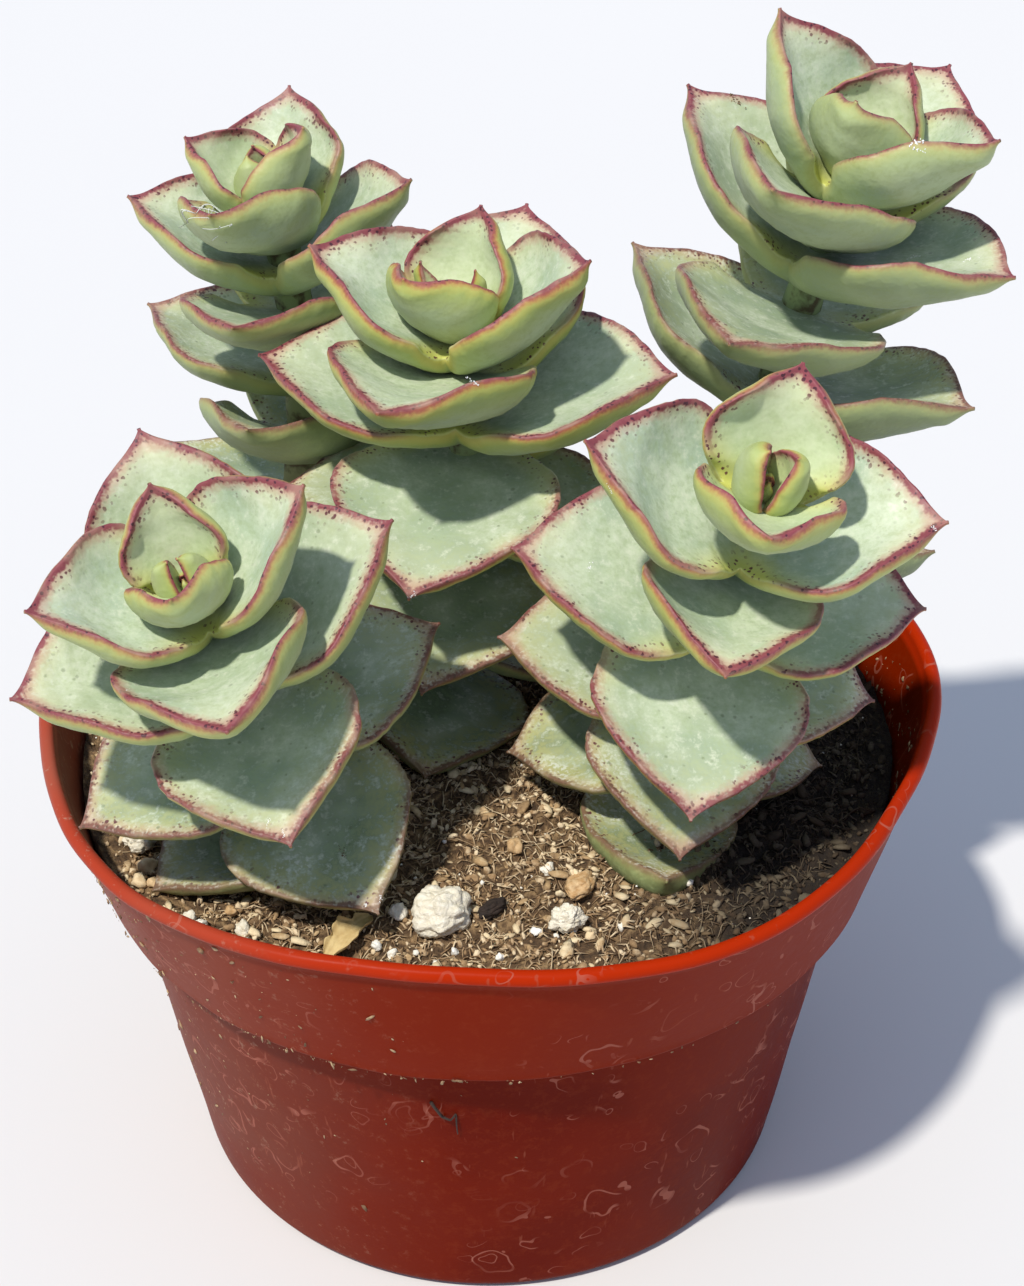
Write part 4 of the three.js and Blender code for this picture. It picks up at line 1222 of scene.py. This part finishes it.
scale = add_node(leaf, "MapRange", {"Value": ragged, 1: 0.54, 2: 0.64, 4: 0.75})
old_edge = add_node(leaf, "MapRange", {"Value": margin, 1: 3.0, 2: 0.2, 4: 0.5})
band_colour = painted(
    leaf, "#742d38",
    (mottle, "#9c5759"),
    (product(leaf, young, 0.7), "#9c4c56"),
    (speck, "#502431"),
    (product(leaf, oldest, 0.85), "#7d664a"),
)
skin_colour = painted(
    leaf, underside,
    (on_top, face),
    (product(leaf, near_stem, near_margin, on_top, bud_edge), "#cdd070"),
    (product(leaf, blush_in, reddened, on_top, fresh), "#bd8f7c"),
    (product(leaf, speck, speck_zone, speck_patch, on_top), "#64323a"),
    (product(leaf, dot, dotted, on_top), "#6f7d57"),
    (product(leaf, crust, scale, on_top, old), "#dfe4d6"),
    (band, band_colour),
    (product(leaf, scale, old_edge, on_top, old, 0.8), "#d9dccb"),
)
rough = add_node(leaf, "MapRange", {"Value": mottle, 1: 0.3, 2: 0.7, 3: 0.42, 4: 0.6})
pores = add_node(
    leaf, "TexNoise", {"Vector": place, "Scale": per(0.9), "Detail": 1.0, "Roughness": 0.7})
cover(leaf, skin, skin_colour, pores, 0.09, 0.8, rough)

# %% [markdown]
# The stem's skin is the same but dull and corky near the soil. Its colour runs from green at the
# top to tan at the foot, broken by dark scars.

# %% Stem finish
stalk, bark_skin, place = new_finish("crassula stem, corky skin", stems, IOR=1.45, Roughness=0.7)
height = number_of(stalk, "height")
corky = add_node(stalk, "MapRange", {"Value": height, 1: 0.7, 2: 0.1})
scar_noise = add_node(stalk, "TexNoise", {"Vector": place, "Scale": per(1.8), "Detail": 4.0})
scar = add_node(stalk, "MapRange", {"Value": scar_noise, 1: 0.5, 2: 0.65})
stalk_colour = painted(stalk, "#93a56d", (corky, "#8a7650"), (scar, "#5f5537"))
cover(stalk, bark_skin, stalk_colour, scar_noise, 0.2, 0.8)

# %% [markdown]
# Polypropylene for nursery pots is coloured all the way through and leaves the mould with a satin
# skin, glossier on the rolled lip. Handling and watering have left dust on the collar, thin broken
# rings where drops dried, and a few scratches. The plastic's IOR is 1.49, and the film of dust
# weakens its shine, so the specular level is low.

# %% Pot finish
DROP_RINGS = ((8, 0.55), (3.6, 0.5))  # mm between drops that dried, and how strongly they show
RING_RADIUS, RING_LINE = 0.3, 0.02  # shares of the distance between drops

plastic, shell, place = new_finish(
    "moulded polypropylene, dusty", [pot], IOR=1.49, Specular_IOR_Level=0.04)
where = add_node(plastic, "SeparateXYZ", {0: place})
on_collar = add_node(plastic, "MapRange", {"Value": where.outputs["Z"], 1: 43 * MM, 2: 44 * MM})
on_lip = add_node(plastic, "MapRange", {"Value": where.outputs["Z"], 1: 61.2 * MM, 2: 61.8 * MM})
shade = add_node(plastic, "TexNoise", {"Vector": place, "Scale": per(22), "Detail": 2.0})
worn = add_node(plastic, "MapRange", {"Value": shade, 1: 0.42, 2: 0.62, 4: 0.8})
bent = add_node(plastic, "TexNoise", {"Vector": place, "Scale": per(4), "Detail": 1.0})
moved = {0: bent.outputs["Color"], 1: (4.5 * MM,) * 3, 2: place}
shift = add_node(plastic, "VectorMath", moved, operation="MULTIPLY_ADD")
patch = add_node(plastic, "MapRange", {"Value": shade, 1: 0.44, 2: 0.54})
broken = add_node(plastic, "MapRange", {"Value": bent, 1: 0.44, 2: 0.56})
marks = []
for size, strength in DROP_RINGS:
    drops = add_node(plastic, "TexVoronoi", {"Vector": shift, "Scale": per(size)})
    on_line = {0: drops.outputs["Distance"], 1: RING_RADIUS, 2: RING_LINE}
    edge = add_node(plastic, "Math", on_line, operation="COMPARE")
    marks.append((product(plastic, edge, patch, broken, strength), "#b06a58"))
grime_noise = add_node(
    plastic, "TexNoise", {"Vector": place, "Scale": per(1.6), "Detail": 3.0, "Roughness": 0.8})
grime = add_node(plastic, "MapRange", {"Value": grime_noise, 1: 0.6, 2: 0.72, 4: 0.6})
leftward = add_node(plastic, "MapRange", {"Value": where.outputs["X"], 1: -5 * MM, 2: -48 * MM})
dust = add_node(plastic, "MapRange", {"Value": shade, 1: 0.3, 2: 0.7, 3: 0.15, 4: 0.6})
smear = add_node(plastic, "MapRange", {"Value": grime_noise, 1: 0.5, 2: 0.66, 4: 0.16})
stretched = add_node(plastic, "Mapping", {0: place, "Scale": (1, 1, 0.12)})
scratches = add_node(plastic, "TexNoise", {"Vector": stretched, "Scale": per(0.9), "Detail": 2.0})
scratch = add_node(plastic, "MapRange", {"Value": scratches, 1: 0.68, 2: 0.74, 4: 0.35})
plastic_colour = painted(
    plastic, "#6f1700",
    (worn, "#611000"),
    (on_collar, "#7c1d00"),
    (smear, "#8f3e22"),
    (on_lip, "#ab2906"),
    (product(plastic, dust, leftward), "#9c6450"),
    *marks,
    (product(plastic, scratch, patch), "#a35a44"),
    (product(plastic, grime, leftward), "#b79e88"),
)
satin = add_node(plastic, "MapRange", {"Value": on_lip, 3: 0.38, 4: 0.26})
dulled = add_node(plastic, "Math", {0: grime_noise, 1: 0.2, 2: satin}, operation="MULTIPLY_ADD")
cover(plastic, shell, plastic_colour, grime_noise, 0.04, 0.6, dulled)

# %% [markdown]
# Dry peat is brown dust and fibre, paler where the sun has bleached it. Grains and fibres take
# their shade from the random number that each one carries, so no two neighbours match.

# %% Soil finishes
# Painted shade: the soil darkens towards the right, where the front right tower's shadow falls,
# between these two distances.
PAINTED_SHADE_FROM, PAINTED_SHADE_TO, PAINTED_SHADE_COLOUR = 17, 31, "#17110c"  # mm to the right of the middle


def earthy(name, pieces, dark, middle, light, grain, depth, roughness, painted_shade=0.0):
    """A rough finish whose colour runs from dark to light by each grain's number and fine noise,
    and darkens towards the right in a painted shade of the front right tower."""
    tree, shader, place = new_finish(name, pieces, Roughness=roughness)
    noise = add_node(
        tree, "TexNoise", {"Vector": place, "Scale": per(grain), "Detail": 2.0, "Roughness": 0.7})
    mixed = add_node(tree, "Math", {0: noise, 1: number_of(tree, "tint")}, operation="ADD")
    to_middle = add_node(tree, "MapRange", {"Value": mixed, 1: 0.3, 2: 0.75})
    to_light = add_node(tree, "MapRange", {"Value": mixed, 1: 0.85, 2: 1.4})
    across = add_node(tree, "SeparateXYZ", {0: place}).outputs["X"]
    wavy = add_node(tree, "Math", {0: noise, 1: 8 * MM, 2: across}, operation="MULTIPLY_ADD")
    # painted shade, darker towards the right of the soil
    painted_shade_reach = {"Value": wavy, 1: PAINTED_SHADE_FROM * MM, 2: PAINTED_SHADE_TO * MM, 4: painted_shade}
    painted_right_shade = add_node(tree, "MapRange", painted_shade_reach)
    colour = painted(tree, dark, (to_middle, middle), (to_light, light), (painted_right_shade, PAINTED_SHADE_COLOUR))
    cover(tree, shader, colour, noise, depth, 1.0)


white = [specks, cream, *(piece for name, piece in bits.items() if name.startswith("perlite"))]
brown = [bits["bark_chip"], stray]
stony = [tan, bits["stone_chip"]]
EARTHS = {  # pieces, three colours, grain and relief in mm, roughness, and how dark the painted shade on the right gets
    "dry peat": ([soil], "#1a120a", "#5c462f", "#a3865f", 0.6, 0.6, 0.95, 0.92),
    "peat crumbs": ([crumbs], "#523c28", "#a88963", "#eed9b4", 0.7, 0.2, 0.95, 0.88),
    "splashed peat": ([grit], "#4a3727", "#7c5f44", "#bda27c", 0.5, 0.1, 0.95),
    "coir fibre": ([fibres, roots], "#4b3725", "#9c7d59", "#e6cfa8", 1.2, 0.05, 0.8, 0.84),
    "bark flakes": ([chips], "#684e36", "#b8996e", "#ecd8b0", 0.8, 0.15, 0.85, 0.88),
    "torn bark": (brown, "#1f1712", "#3a2c23", "#6b5745", 0.8, 0.15, 0.85),
    "chalky perlite": (white, "#e0d6bc", "#f7f1e0", "#fffdf4", 0.6, 0.25, 0.9),
    "tan stone": (stony, "#b98f5c", "#e0c193", "#f3dfb8", 0.7, 0.1, 0.8),
    "dead leaf": ([scrap], "#8b6a3c", "#b8975d", "#dcc38a", 1.1, 0.1, 0.75),
    "dried spray": ([chalk, web], "#dfe4da", "#f3f6ee", "#ffffff", 0.4, 0.05, 0.6),
    "brown scab": ([scabs], "#3a2c1e", "#6b5237", "#8f7350", 0.5, 0.1, 0.8),
}
for name, values in EARTHS.items():
    earthy(name, *values)

# %% [markdown]
# The plant was photographed under a high sun from the upper left, with an open sky around it.
# One sun lamp with a softened edge and a pale blue world repeat that light, over a pale floor.

# %% Light and floor
TOWARDS_SUN = Vector((-0.295, -0.399, 0.868))
SUN_STRENGTH, SUN_ANGLE = 3.4, np.radians(3)
SKY_STRENGTH = 0.58
FLOOR_REACH = 20000  # mm
LIGHT_BOUNCES = 2  # daylight hardly needs more between matt leaves

sun = bpy.data.lights.new("sun", "SUN")
sun.energy, sun.angle = SUN_STRENGTH, SUN_ANGLE
sun.color = linear("#fffaf2")[:3]
sun_lamp = bpy.data.objects.new("sun", sun)
sun_lamp.rotation_euler = TOWARDS_SUN.to_track_quat("Z", "Y").to_euler()
bpy.context.scene.collection.objects.link(sun_lamp)

world = bpy.data.worlds.new("open sky")
world.use_nodes = True
world.node_tree.nodes["Background"].inputs["Color"].default_value = linear("#cadcff")
world.node_tree.nodes["Background"].inputs["Strength"].default_value = SKY_STRENGTH
bpy.context.scene.world = world

floor_points = np.array([(-1, -1, 0), (1, -1, 0), (1, 1, 0), (-1, 1, 0)]) * FLOOR_REACH * MM
floor_mesh = bpy.data.meshes.new("floor")
floor_mesh.from_pydata(floor_points.tolist(), [], [(0, 1, 2, 3)])
floor = bpy.data.objects.new("floor", floor_mesh)
bpy.context.scene.collection.objects.link(floor)
floor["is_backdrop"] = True
paper, matt, place = new_finish("pale paper", [floor], Roughness=0.9)
paper_noise = add_node(paper, "TexNoise", {"Vector": place, "Scale": per(300), "Detail": 2.0})
paper_colour = painted(paper, "#dcdbd8", (paper_noise, "#e0dfdc"))
paper.links.new(paper_colour.outputs[2], matt.inputs["Base Color"])

bpy.context.scene.view_settings.view_transform = "Standard"
bpy.context.scene.view_settings.look = "None"
bpy.context.scene.cycles.max_bounces = LIGHT_BOUNCES
print("sun", SUN_STRENGTH, "sky", SKY_STRENGTH)

# %% [markdown]
# The dressed object is meant to stay as large as the measured one, so both boxes are printed.

# %% Size and end
boxes = {"cad": cad_box, "visual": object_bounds()}
for name, box in boxes.items():
    print(name, [[round(value / MM, 1) for value in corner] for corner in box])
